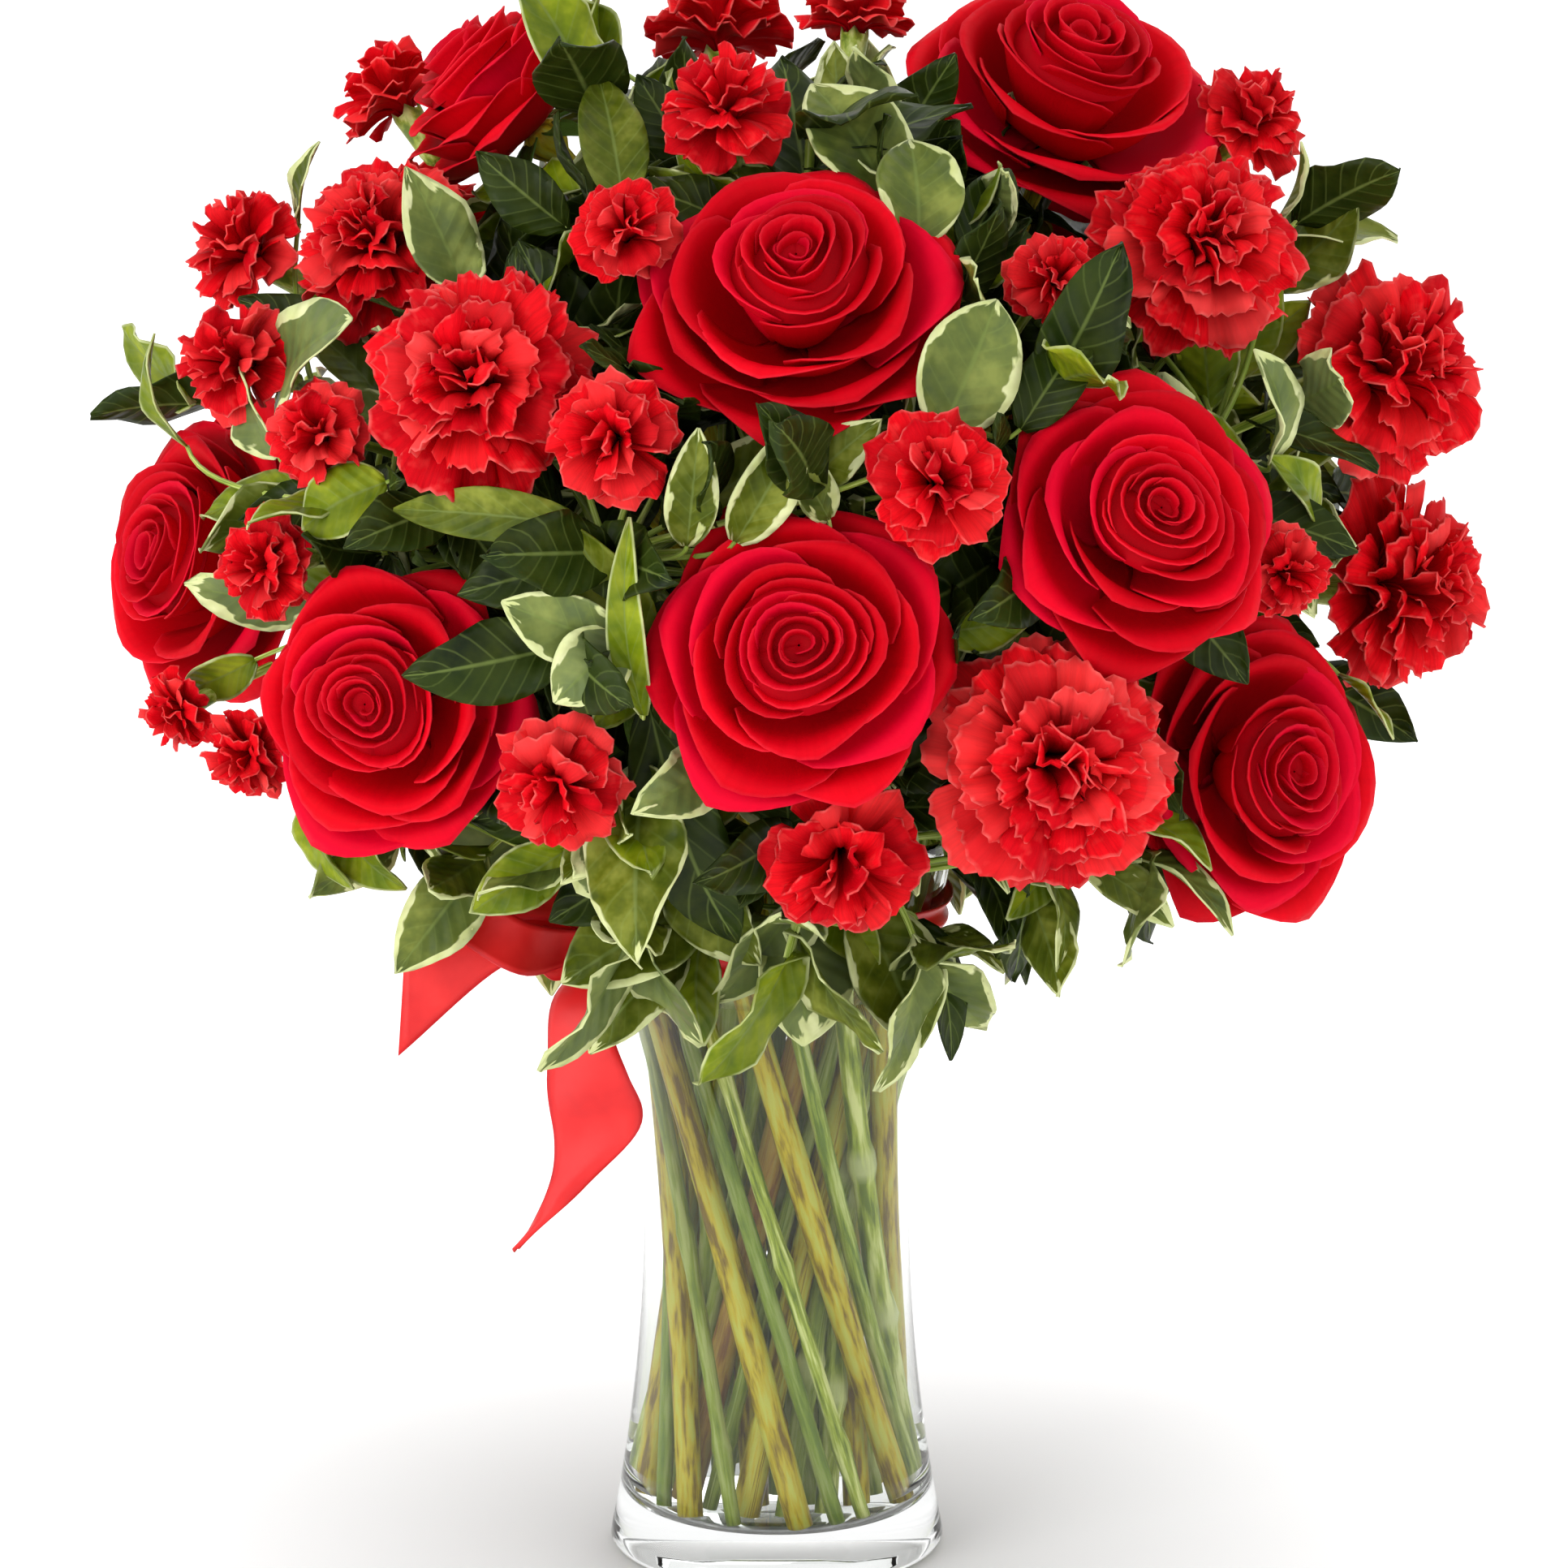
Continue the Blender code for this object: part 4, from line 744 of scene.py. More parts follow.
# The leaves that show most: root and tip, width as a share of the length, and tone
# (under 0.3 dark and plain, the dark green being painted shade, 0.45 to 0.62 bright and
# plain, over 0.74 with a cream margin)
SHOWN_LEAVES = (
    ((30, -66, 376), (9, -42, 407), 0.60, 0.90), ((36, -80, 370), (34, -64, 395), 0.78, 0.90),
    ((41, -116, 328), (55, -102, 359), 0.72, 0.92), ((127, -62, 312), (122, -68, 342), 0.66, 0.95),
    ((130, 1, 350), (154, -4, 373), 0.58, 0.80), ((134, 3, 368), (139, 0, 388), 0.55, 0.90),
    ((-129, -51, 312), (-137, -33, 336), 0.60, 0.95),
    ((-130, -36, 326), (-108, -70, 350), 0.62, 0.95),
    ((-99, -84, 310), (-121, -78, 297), 0.78, 0.55),
    ((-48, -120, 305), (-96, -101, 306), 0.26, 0.40),
    ((-38, -124, 276), (-68, -126, 287), 0.56, 0.93),
    ((-38, -125, 278), (-55, -129, 262), 0.80, 0.97),
    ((-22, -126, 301), (-19, -130, 331), 0.44, 0.80),
    ((-10, -126, 302), (7, -128, 333), 0.44, 0.84), ((13, -123, 307), (1, -127, 326), 0.55, 0.88),
    ((-32, -120, 276), (-51, -124, 306), 0.50, 0.40),
    ((-33, -124, 258), (-36, -131, 309), 0.20, 0.60),
    ((-32, -108, 258), (-10, -84, 190), 0.30, 0.24), ((-39, -60, 378), (-46, -34, 408), 0.44, 0.36),
    ((-44, 5, 405), (-46, 0, 430), 0.66, 0.60), ((-43, 5, 408), (-60, 0, 426), 0.60, 0.55),
    ((-157, -9, 308), (-165, -8, 338), 0.44, 0.62), ((-127, 3, 366), (-121, 0, 388), 0.60, 0.84),
    ((61, -106, 327), (78, -93, 350), 0.52, 0.20), ((48, -68, 367), (60, -50, 386), 0.52, 0.22),
    ((140, -50, 292), (126, -66, 314), 0.46, 0.50), ((150, -20, 248), (164, -28, 232), 0.60, 0.58),
    ((-137, -40, 256), (-157, -30, 246), 0.52, 0.60),
    ((-124, -34, 218), (-112, -40, 194), 0.66, 0.58),
    ((-116, -34, 212), (-98, -40, 194), 0.58, 0.55), ((-97, -50, 216), (-98, -46, 203), 0.60, 0.34),
    ((-90, -58, 219), (-86, -56, 203), 0.55, 0.86), ((-23, -60, 212), (-59, -73, 193), 0.52, 0.24),
    ((-20, -58, 195), (-56, -71, 176), 0.62, 0.82), ((-24, -56, 180), (-49, -67, 156), 0.50, 0.86),
    ((-19, -54, 187), (-19, -63, 157), 0.62, 0.50), ((-26, -62, 208), (-4, -71, 181), 0.60, 0.78),
    ((7, -56, 189), (7, -67, 158), 0.80, 0.98), ((22, -55, 192), (38, -65, 157), 0.66, 0.80),
    ((37, -50, 188), (46, -59, 152), 0.40, 0.22), ((42, -48, 184), (60, -56, 175), 0.46, 0.80),
    ((-6, -60, 202), (-17, -69, 182), 0.62, 0.34), ((48, -50, 208), (61, -61, 182), 0.50, 0.28),
    ((70, -68, 207), (73, -75, 180), 0.46, 0.86), ((79, -68, 208), (103, -75, 192), 0.42, 0.88),
    ((90, -60, 209), (119, -68, 188), 0.40, 0.90), ((87, -62, 218), (113, -71, 206), 0.62, 0.52),
    ((73, -62, 208), (60, -67, 192), 0.52, 0.60), ((11, -54, 194), (27, -63, 179), 0.60, 0.55),
    ((92, -64, 214), (90, -86, 226), 0.50, 0.86),
)
# The same round the sides and the back of the vase: azimuth of the first and the last,
# how many, then for roots and tips their distance from the axis and height
COLLAR_SWEEPS = ((68.0, 292.0, 17, (50.0, 196.0), (67.0, 164.0)),
                 (60.0, 300.0, 19, (58.0, 212.0), (92.0, 192.0)))


def stacked(*parts):
    """Arrays and numbers brought to one shape, and put together as coordinates."""
    return np.stack(np.broadcast_arrays(*parts), axis=-1)


def lengths_along(path):
    """How far along the path each of its points is."""
    steps = np.linalg.norm(np.diff(path, axis=0), axis=1)
    return np.concatenate(([0.0], np.cumsum(steps)))


def fine_tube(points, radii, sides):
    """Rings square to a path, turned along it without twist."""
    ahead = np.gradient(points, axis=0)
    ahead = ahead / np.linalg.norm(ahead, axis=1)[:, None]
    side = frame_of(ahead[0])[0]
    rings = []
    for point, tangent, radius in zip(points, ahead, radii):
        side = unit(side - tangent * np.dot(side, tangent))
        axes = (side, np.cross(tangent, side), tangent)
        rings.append(ring_of_points(point, axes, radius, 0.0, sides))
    return np.array(rings)


class Skin:
    """Points, faces and marks that add up to the mesh of one piece."""

    def __init__(self):
        self.points = []
        self.faces = []
        self.marks = []
        self.extras = []
        self.count = 0

    def add(self, points, faces, mark, extra):
        """Add points with their faces. A mark and an extra are three numbers a point."""
        self.faces.extend([[i + self.count for i in face] for face in faces])
        for store, values in ((self.points, points), (self.marks, mark), (self.extras, extra)):
            store.append(np.broadcast_to(values, points.shape).reshape(-1, 3))
        self.count += len(self.points[-1])

    def sheet(self, grid, thick, mark, extra):
        """A thin closed sheet round a grid of rows, columns and 3 coordinates."""
        normal = np.cross(np.gradient(grid, axis=1), np.gradient(grid, axis=0))
        length = np.linalg.norm(normal, axis=2)[:, :, None]
        normal = normal / np.maximum(length, 1e-9) * thick / 2
        faces = sheet_faces(*grid.shape[:2])
        self.add(np.stack((grid + normal, grid - normal)), faces, mark, extra)

    def tube(self, rings, mark, extra):
        """A skin over rings of equal count, closed by a flat face at each end."""
        count, sides = rings.shape[:2]
        faces = []
        for i in range(0, (count - 1) * sides, sides):
            for j in range(sides):
                k = (j + 1) % sides
                faces.append((i + j, i + k, i + sides + k, i + sides + j))
        faces.append(tuple(range(sides))[::-1])
        faces.append(tuple(range((count - 1) * sides, count * sides)))
        self.add(rings, faces, mark, extra)

    def piece(self, name, materials, slot, *nodes):
        """The finished object, riding on the body and standing for its nodes."""
        mesh = bpy.data.meshes.new(name)
        mesh.from_pydata(np.concatenate(self.points) * MM, [], self.faces)
        mesh.materials.append(materials[slot])
        for label, values in (("mark", self.marks), ("extra", self.extras)):
            layer = mesh.attributes.new(label, "FLOAT_VECTOR", "POINT")
            layer.data.foreach_set("vector", np.concatenate(values).astype(np.float32).ravel())
        mesh.update()
        mesh.shade_smooth()
        thing = bpy.data.objects.new(name, mesh)
        bpy.context.collection.objects.link(thing)
        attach(thing, BODY)
        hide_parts(*nodes)
        return thing


@functools.cache
def sheet_faces(rows, columns):
    """Faces of a closed sheet: its two sides and the rim between them."""
    under = rows * columns
    faces = []
    for i in range(rows - 1):
        for a in range(i * columns, (i + 1) * columns - 1):
            quad = (a, a + 1, a + columns + 1, a + columns)
            faces += [quad, tuple(k + under for k in quad[::-1])]
    rim = list(range(columns))
    rim += [i * columns + columns - 1 for i in range(1, rows)]
    rim += [(rows - 1) * columns + j for j in range(columns - 2, -1, -1)]
    rim += [i * columns for i in range(rows - 2, 0, -1)]
    return faces + [(b, a, a + under, b + under) for a, b in zip(rim, rim[1:] + rim[:1])]


def rose_petal(rim, height, half, roll, closing, turn, draw):
    """One petal of a rose in its own frame, from its foot to its rolled-back rim."""
    s = np.linspace(0.0, 1.0, ROSE_GRID[0])[:, None] ** 0.85
    v = np.linspace(-1.0, 1.0, ROSE_GRID[1])
    # The outline: a broad petal comes to more of a point
    t = s * (1.0 - (0.06 + 0.22 * roll) * np.abs(v) ** 1.15 - 0.13 * v ** 8)
    rim = rim * draw.uniform(0.94, 1.05) * (1.0 - (1.0 - closing) * rim / CLOSING_REACH)
    height = height + draw.uniform(-1.2, 1.2) + (1.0 - closing) * rim * 0.5
    # The profile from the foot: a petal near the heart is snug and upright
    snug = max(0.0, 1.0 - rim / 11.0)
    upright = 1.0 - roll
    r = spread((3.0, 2.5 + (0.58 + 0.22 * roll + 0.45 * snug) * rim,
                (0.86 + 0.06 * roll + 0.3 * snug) * rim, rim), t)
    z = spread((0.5, (0.06 + 0.20 * upright) * height, (0.78 + 0.04 * upright) * height, height), t)
    swell = 0.32 + 0.68 * np.sin(0.5 * math.pi * np.minimum(1.0, t / 0.65))
    angle = turn + v * math.radians(half) * swell
    # The rim rolls back, and the whole petal waves and slants a little
    bend = np.clip((t - 0.66) / 0.34, 0.0, 1.0)
    wave = draw.uniform(0.0, 2 * math.pi)
    slant = draw.uniform(-2.2, 2.2)
    r = r + (1.5 + 3.0 * roll) * bend ** 2 + (0.7 + 0.8 * roll) * v
    r = r + (0.4 + 1.3 * roll) * t ** 3 * np.sin(1.15 * math.pi * v + wave)
    z = z - (0.8 + 5.0 * roll) * bend ** 3 - 3.6 * roll * v ** 2 * t ** 2
    z = z + slant * v * t ** 2 + (0.3 + 0.7 * roll) * t ** 3 * np.sin(1.7 * math.pi * v + 2 * wave)
    return stacked(r * np.cos(angle), r * np.sin(angle), z), stacked(s, v, draw.random())


def warp_whorl(grid, start):
    """Push the petals near the heart a little out of round."""
    angle = np.arctan2(grid[:, :, 1], grid[:, :, 0])
    far = np.hypot(grid[:, :, 0], grid[:, :, 1]) / HEART_RADII[1] / WHORL_REACH
    warp = WHORL_WARP[0] * np.cos(2 * angle + start) + WHORL_WARP[1] * np.cos(3 * angle - start)
    grid[:, :, :2] *= (1.0 + (1.0 - np.minimum(1.0, far)) * warp)[:, :, None]


def rose_bud():
    """The dome of folded petals deep in the heart, in the rose's own frame. Its marks give it the
    darkest red of a petal's foot and of the heart, a painted shade.
    """
    s = np.linspace(0.0, 1.0, BUD_GRID[0])[:, None]
    v = np.linspace(-1.0, 1.0, BUD_GRID[1])
    r = 0.3 + BUD[1] * s
    grid = stacked(r * np.cos(math.pi * v), r * np.sin(math.pi * v), BUD[0] - BUD[2] * s ** 2)
    return grid, stacked(0.05 + 0.1 * s, v, 0.5)


def heart_petal(k, start, draw):
    """A petal of the heart: its rim's radius and height, half angle, roll and turn."""
    share = k / (HEART_PETALS - 1)
    rim = HEART_RADII[0] + (HEART_RADII[1] - HEART_RADII[0]) * share ** 1.08
    height = HEART_HEIGHT + 3.2 * math.sin(math.pi * min(1.0, 1.5 * share)) - 2.4 * share ** 2
    half = HEART_ANGLES[0] + (HEART_ANGLES[1] - HEART_ANGLES[0]) * share
    turn = start + math.radians(GOLDEN_TURN * k + draw.uniform(-14, 14))
    return rim, height, half, HEART_ROLL * share, turn


def rose_bloom(name, bloom, materials, seed):
    """Petals wound in a spiral round a tight heart, then the broad ones round them."""
    draw = random.Random(seed)
    base, axes, size = bloom
    size *= ROSE_SWELL.get(name, 1.0)
    skin = Skin()
    start = draw.uniform(0.0, 2 * math.pi)
    petals = [heart_petal(k, start, draw) for k in range(HEART_PETALS)]
    for number, (count, *shape) in enumerate(BROAD_LAYERS):
        for k in range(count):
            turn = start + 2 * math.pi * (k + 0.5 * number + draw.uniform(-0.12, 0.12)) / count
            petals.append((*shape, turn))
    for rim, height, half, roll, turn in petals:
        closing = ROSE_CLOSED.get(name, 1.0)
        grid, mark = rose_petal(rim, height, half, roll, closing, turn, draw)
        warp_whorl(grid, start)
        # The second extra mark, the rim's reach, lets the heart's petals take painted shade
        skin.sheet(base + grid * size @ axes, PETAL_THICK, mark, (0.0, rim / ROSE_REACH, 0.0))
    # The bud fills the bottom of the heart and takes its darkest painted shade
    grid, mark = rose_bud()
    skin.sheet(base + grid * size @ axes, PETAL_THICK, mark, (0.0, 0.0, 0.0))
    skin.piece(f"{name}_petals", materials, "rose_petal", f"{name}_bloom")


def fan_petal(layer, turn, twist, grid_size, ruffle, start, draw):
    """One frilled petal that widens like a fan from its narrow foot."""
    rows, columns = grid_size
    rim, height, half = layer
    s = np.linspace(0.0, 1.0, rows)[:, None] ** 0.8
    v = np.linspace(-1.0, 1.0, columns)
    t = s * (1.0 - 0.20 * v ** 2)
    radii = (start, start * 1.3 + 0.05 * rim, 0.62 * rim, rim)
    heights = (0.0, 0.5 * height + 0.22 * rim, height + 0.12 * rim, height)
    ahead_r = slope(radii, t)
    ahead_z = slope(heights, t)
    length = np.hypot(ahead_r, ahead_z)
    ahead_r = ahead_r / length
    ahead_z = ahead_z / length
    width = half * (0.10 + 0.90 * t ** 1.15)
    # Folds across the petal, lobes and teeth along its rim
    phases = [draw.uniform(0.0, 2 * math.pi) for _ in range(3)]
    depths = (draw.uniform(0.5, 1.0), draw.uniform(0.3, 0.65), 0.16)
    folds = [depth * np.sin(2 * math.pi * rate * v + phase)
             for depth, rate, phase in zip(depths, (0.62, 1.25, 2.7), phases)]
    fold = ruffle * t ** 1.6 * (folds[0] + folds[1] + folds[2])
    lobes = 0.45 * ruffle * np.sin(2 * math.pi * 0.9 * v + phases[2]) * t ** 6
    teeth = np.array([draw.uniform(0.2, 1.0) if k % 2 else -draw.uniform(0.1, 0.8)
                      for k in range(columns)]) * ruffle * 0.26 * s ** 9
    aside = v * width * math.cos(twist) - fold * math.sin(twist)
    upward = v * width * math.sin(twist) + fold * math.cos(twist)
    r = spread(radii, t) + ahead_r * (teeth + lobes) - ahead_z * upward
    z = spread(heights, t) + ahead_z * (teeth + lobes) + ahead_r * upward
    grid = stacked(r * math.cos(turn) - aside * math.sin(turn),
                   r * math.sin(turn) + aside * math.cos(turn), z)
    return grid, stacked(s, v, draw.random())


def frilled_bloom(skin, bloom, layers, grid_size, ruffle, start, draw):
    """Layers of frilled petals, flatter outside and crumpled together in the middle."""
    base, axes, size = bloom
    for number, (count, rim, height, half) in enumerate(layers):
        inner = number / (len(layers) - 1)
        first = draw.uniform(0.0, 2 * math.pi)
        for k in range(count):
            turn = first + 2 * math.pi * (k + draw.uniform(-0.3, 0.3)) / count
            twist = math.radians(draw.uniform(-1, 1) * (18 + 62 * inner))
            reach = draw.uniform(0.88, 1.03)
            layer = (rim * reach, height * draw.uniform(0.92, 1.05) + draw.uniform(-1, 1) * size,
                     half * draw.uniform(0.85, 1.12))
            grid, mark = fan_petal(layer, turn, twist, grid_size, ruffle, start, draw)
            # Some petals are paler at random; the inner mark lets the middle layers take painted
            # shade
            pale = draw.random() ** 4
            skin.sheet(base + grid * size @ axes, PETAL_THICK * size, mark, (0.0, inner, pale))


def carnation_bloom(name, bloom, materials, seed):
    """A large carnation."""
    skin = Skin()
    frilled_bloom(skin, bloom, CARNATION_LAYERS, CARNATION_GRID, CARNATION_RUFFLE, CARNATION_FOOT,
                  random.Random(seed))
    skin.piece(f"{name}_petals", materials, "carnation_petal", f"{name}_bloom")


def main_stem(name, line, controls):
    """Points and radii of a main stem: stout in the vase, then slimmer up to the flower."""
    straight, curved = STEM_POINTS[name.split("_")[0]]
    low = line[0] + (line[1] - line[0]) * np.linspace(0.0, 1.0, straight)[:-1, None]
    t = np.linspace(0.0, 1.0, curved)
    thick = stem_radius(name)
    share = foot_share(name)
    thin = thick if share > 1.0 else BRANCH
    stout = 1.0 + (share - 1.0) * np.clip(1.0 - t / STOUT_SHARE, 0.0, 1.0)
    slimmer = (thick + (thin - thick) * t) * stout
    radii = np.concatenate((np.full(straight - 1, thick * share), slimmer))
    return np.vstack((low, bezier(controls, curved))), radii


def marked_tube(skin, path, radii, sides, tone, seed, pale=0.0):
    """A round stem, marked with the way along it, the way round it and a seed."""
    path = np.array(path)
    mark = stacked(lengths_along(path)[:, None] / 100.0, np.arange(sides) / sides, seed)
    extra = stacked(0.0, tone, np.reshape(pale, (-1, 1)))
    skin.tube(fine_tube(path, radii, sides), mark, extra)


def blade(skin, root, direction, face, length, width, droop, tone, seed, rows=8, columns=5):
    """A narrow pointed leaf or sepal that arches back from where it grows."""
    s = np.linspace(0.0, 1.0, rows)[:, None]
    v = np.linspace(-1.0, 1.0, columns)
    side = unit(np.cross(direction, face))
    half = width / 2 * np.sin(math.pi * (0.12 + 0.88 * s) ** 0.8) ** 0.9
    lift = -droop * s ** 2 + 0.14 * width * v ** 2
    grid = (root + direction * (s * length)[:, :, None] + side * (v * half)[:, :, None]
            + face * lift[:, :, None])
    skin.sheet(grid, LEAF_THICK, stacked(s, v, seed), stacked((1 - np.abs(v)) * half, tone, 0.0))


def rose_stem(name, line, controls, bloom, materials, seed):
    """A rose's stem with thorns, its rounded hip and five sepals that bend back."""
    draw = random.Random(seed)
    base, axes, size = bloom
    axis = axes[2]
    skin = Skin()
    path, radii = main_stem(name, line, controls)
    radii = radii * (1.0 + 0.05 * np.sin(lengths_along(path) / 17.0 + seed))
    path = np.vstack((path, [base + axis * height for height, _ in HIP]))
    radii = np.concatenate((radii, [radius for _, radius in HIP]))
    marked_tube(skin, path, radii, STOUT_SIDES, 0.0, draw.random())
    for k in range(SEPALS):
        turn = math.radians(360.0 / SEPALS * k + draw.uniform(-10, 10))
        out = axes[0] * math.cos(turn) + axes[1] * math.sin(turn)
        direction = unit(out - axis * draw.uniform(0.0, 0.5))
        face = unit(np.cross(np.cross(direction, axis), direction))
        blade(skin, base + out * 3.5 - axis * 2.2, direction, face, SEPAL_LENGTH * size, 6.5, 5.0,
              0.4, draw.random())
    along = lengths_along(path)
    for distance in np.arange(ABOVE_VASE + 6.0, along[-1] - STEM_END, THORN_STEP):
        k = int(np.searchsorted(along, distance + draw.uniform(-6, 6)))
        ahead = unit(path[k] - path[k - 1])
        out = frame_of(ahead, draw.uniform(0, 360))[0]
        points = [path[k] + out * reach - ahead * drop for reach, drop, _ in THORN]
        marked_tube(skin, points, [radius for *_, radius in THORN], TWIG_SIDES, 1.0,
                    draw.random())
    skin.piece(f"{name}_green", materials, "rose_stem", f"{name}_stem")


def node_swelling(along, places):
    """How much thicker a stem is near its joints."""
    swelling = np.ones(len(along))
    for place in places:
        swelling += JOINT_SWELL * np.exp(-((along - place) / JOINT_LENGTH) ** 2)
    return swelling


def joint_places(total, first, draw):
    """Distances along a stem at which its joints are."""
    places = []
    place = first
    while place < total - STEM_END:
        places.append(place)
        place += draw.uniform(*JOINT_STEPS)
    return places


def add_calyx(skin, bloom, length, radius, sides=20):
    """The green tube that holds a carnation's petals, with five teeth at its rim."""
    base, axes, _ = bloom
    axis = axes[2]
    level = frame_of(axis)
    rings = [ring_of_points(base, level, share * radius, height * length, sides)
             for height, share in CALYX_ROWS]
    teeth = np.abs(((np.arange(sides) * 5 / sides) % 1.0) - 0.5) * 2
    top = (teeth * 0.22 - 0.06)[:, None] * axis * length
    rings.append(top + ring_of_points(base, level, 1.04 * radius, 0.0, sides))
    rings.append(top + ring_of_points(base, level, 0.90 * radius, -0.8, sides))
    rings.append(ring_of_points(base, level, 0.4 * radius, -0.2 * length, sides))
    along = np.linspace(0.0, 1.0, len(rings))[:, None]
    skin.tube(np.array(rings), stacked(along, np.arange(sides) / sides, 0.0), (0.0, 0.3, 0.0))


def leaf_pair(skin, path, k, radius, draw, length=24.0):
    """Two narrow leaves that clasp a joint."""
    axis = unit(path[k] - path[k - 1])
    out = frame_of(axis, draw.uniform(0, 360))[0]
    for side in (out, -out):
        direction = unit(axis + side * 0.8)
        face = unit(np.cross(np.cross(direction, axis), direction))
        blade(skin, path[k] + side * radius * 0.8, direction, face,
              length * draw.uniform(0.7, 1.1), 3.4, 6.0, 0.6, draw.random(), 8, 3)


def carnation_stem(name, line, controls, bloom, materials, seed):
    """A carnation's stem with swollen pale joints, and its calyx."""
    draw = random.Random(seed)
    skin = Skin()
    path, radii = main_stem(name, line, controls)
    along = lengths_along(path)
    places = joint_places(along[-1], draw.uniform(25.0, 60.0), draw)
    swelling = node_swelling(along, places)
    pale = (swelling - 1.0) / JOINT_SWELL
    marked_tube(skin, path, radii * swelling, STOUT_SIDES, 0.0, draw.random(), pale)
    for place in places:
        if place > ABOVE_VASE:
            leaf_pair(skin, path, int(np.searchsorted(along, place)), CARNATION_STEM, draw)
    add_calyx(skin, bloom, CALYX, CALYX_RADIUS)
    skin.piece(f"{name}_green", materials, "carnation_stem", f"{name}_stem")


def spray_carnation(name, line, main, twigs, heads, materials, seed):
    """Small carnations on one branched stem: their petals, and the green of the stem."""
    draw = random.Random(seed)
    petals = Skin()
    green = Skin()
    for k, (controls, head) in enumerate(zip([main] + twigs, heads)):
        if k == 0:
            path, radii = main_stem(name, line, controls)
        else:
            path = bezier(controls, BRANCH_ROWS)
            radii = np.full(len(path), BRANCH)
        along = lengths_along(path)
        places = joint_places(along[-1], 20.0, draw) if k == 0 else [along[-1] * 0.55]
        marked_tube(green, path, radii * node_swelling(along, places), SLIM_SIDES, 0.0,
                    draw.random())
        for place in places:
            if k or place > ABOVE_VASE:
                leaf_pair(green, path, int(np.searchsorted(along, place)), BRANCH, draw, 13.0)
        add_calyx(green, head, SMALL_CALYX * head[2] * 1.05, 3.9 * head[2], 15)
        frilled_bloom(petals, head, SMALL_LAYERS, SMALL_GRID, SMALL_RUFFLE, SMALL_FOOT, draw)
    green.piece(f"{name}_green", materials, "carnation_stem", name)
    petals.piece(f"{name}_petals", materials, "spray_carnation", name)


def fine_leaf(skin, leaf, tone, seed, grid_size=(LEAF_ROWS, LEAF_COLUMNS)):
    """A leaf on the same blade as its solid, a little broader and with finer waves."""
    (axes, root), length, phase = leaf
    s = np.linspace(0.0, 1.0, grid_size[0])
    v = np.linspace(-1.0, 1.0, grid_size[1])
    grid = np.array([[leaf_point(a, b, length, phase) for b in v] for a in s])
    grid[:, :, 1] *= LEAF_BROADER
    half = np.abs(grid[:, -1, 1])
    ripple = np.sin(s[:, None] * 11.0 + phase * 3 + 1.2 * v)
    grid[:, :, 2] += 0.13 * np.abs(v) ** 3 * ripple * half[:, None]
    grid[0, :, 1] = np.linspace(-0.5, 0.5, len(v))
    lay_leaf(skin, root + grid @ axes, s, v, half, length, tone, seed)


def lay_leaf(skin, grid, s, v, half, length, tone, seed):
    """The leaf's sheet, marked with how far each point is from the margin."""
    edge = (1 - np.abs(v)) * half[:, None]
    edge = np.minimum(edge, (1.0 - s[:, None]) * length * 0.6)
    skin.sheet(grid, LEAF_THICK, stacked(s[:, None], v, seed), stacked(edge, tone, 0.0))


def broad_leaf(skin, root, tip, share, tone, draw):
    """A leaf from its root to its tip: round-ended, cupped and waved, facing outwards."""
    root = np.array(root, dtype=float)
    length = float(np.linalg.norm(tip - root))
    along = unit(tip - root)
    if root[2] > COLLAR_TOP:
        outward = dome_normal(root)
    else:
        outward = unit(np.array((root[0], root[1], 30.0)))
    outward = unit(outward + np.array([draw.uniform(-0.25, 0.25) for _ in range(3)]))
    across = unit(np.cross(outward, along))
    up = np.cross(along, across)
    s = np.linspace(0.0, 1.0, LEAF_ROWS + 3)
    v = np.linspace(-1.0, 1.0, LEAF_COLUMNS + 2)
    half = share * length / 2 * np.sin(math.pi * np.minimum(1.0, s + 0.02) ** 0.86) ** 0.62
    half[-1] = 0.4
    phase = draw.uniform(0.0, 2 * math.pi)
    cup = draw.uniform(0.12, 0.42)
    arch = draw.uniform(0.04, 0.16)
    way = s[:, None]
    wide = half[:, None]
    lift = arch * length * np.sin(math.pi * way) + cup * wide * np.abs(v) ** 1.6
    lift = lift + 0.16 * wide * v ** 2 * np.sin(5.2 * way + phase + 1.6 * v)
    lift = lift + 0.07 * wide * np.abs(v) ** 3 * np.sin(14.0 * way + 2 * phase)
    grid = (root + along * (way * length)[:, :, None] + across * (v * wide)[:, :, None]
            + up * lift[:, :, None])
    lay_leaf(skin, grid, s, v, half, length, tone, draw.random())


def sweep_leaves(draw):
    """The collar leaves of the sides and back, as rows like those of the shown leaves."""
    rows = []
    for first, last, count, root, tip in COLLAR_SWEEPS:
        for azimuth in np.linspace(first, last, count):
            turn = azimuth + draw.uniform(-4.0, 4.0)
            low = heading(turn + draw.uniform(-16.0, 16.0), 0) * tip[0] * draw.uniform(0.92, 1.08)
            start = heading(turn, 0) * root[0] + (0.0, 0.0, root[1] + draw.uniform(-5.0, 5.0))
            end = low + (0.0, 0.0, tip[1] + draw.uniform(-8.0, 8.0))
            # A quarter of these leaves get the dark tone, a painted shade
            rows.append((start, end, draw.uniform(0.5, 0.75), leaf_tone(draw, 0.25, 0.2)))
    return rows


def leaf_tone(draw, dark, bright):
    """A leaf's tone: shares of dark plain ones, whose dark green is painted shade, and of bright
    plain ones; the rest with a cream margin.
    """
    kind = draw.random()
    if kind < dark:
        return draw.uniform(0.05, 0.3)
    if kind < dark + bright:
        return draw.uniform(0.47, 0.6)
    return draw.uniform(0.76, 1.0)


def inner_radius(z, more=0.0):
    """Radius of the glass's inside at a height."""
    return vase_radius(z) - GLASS_WALL - more


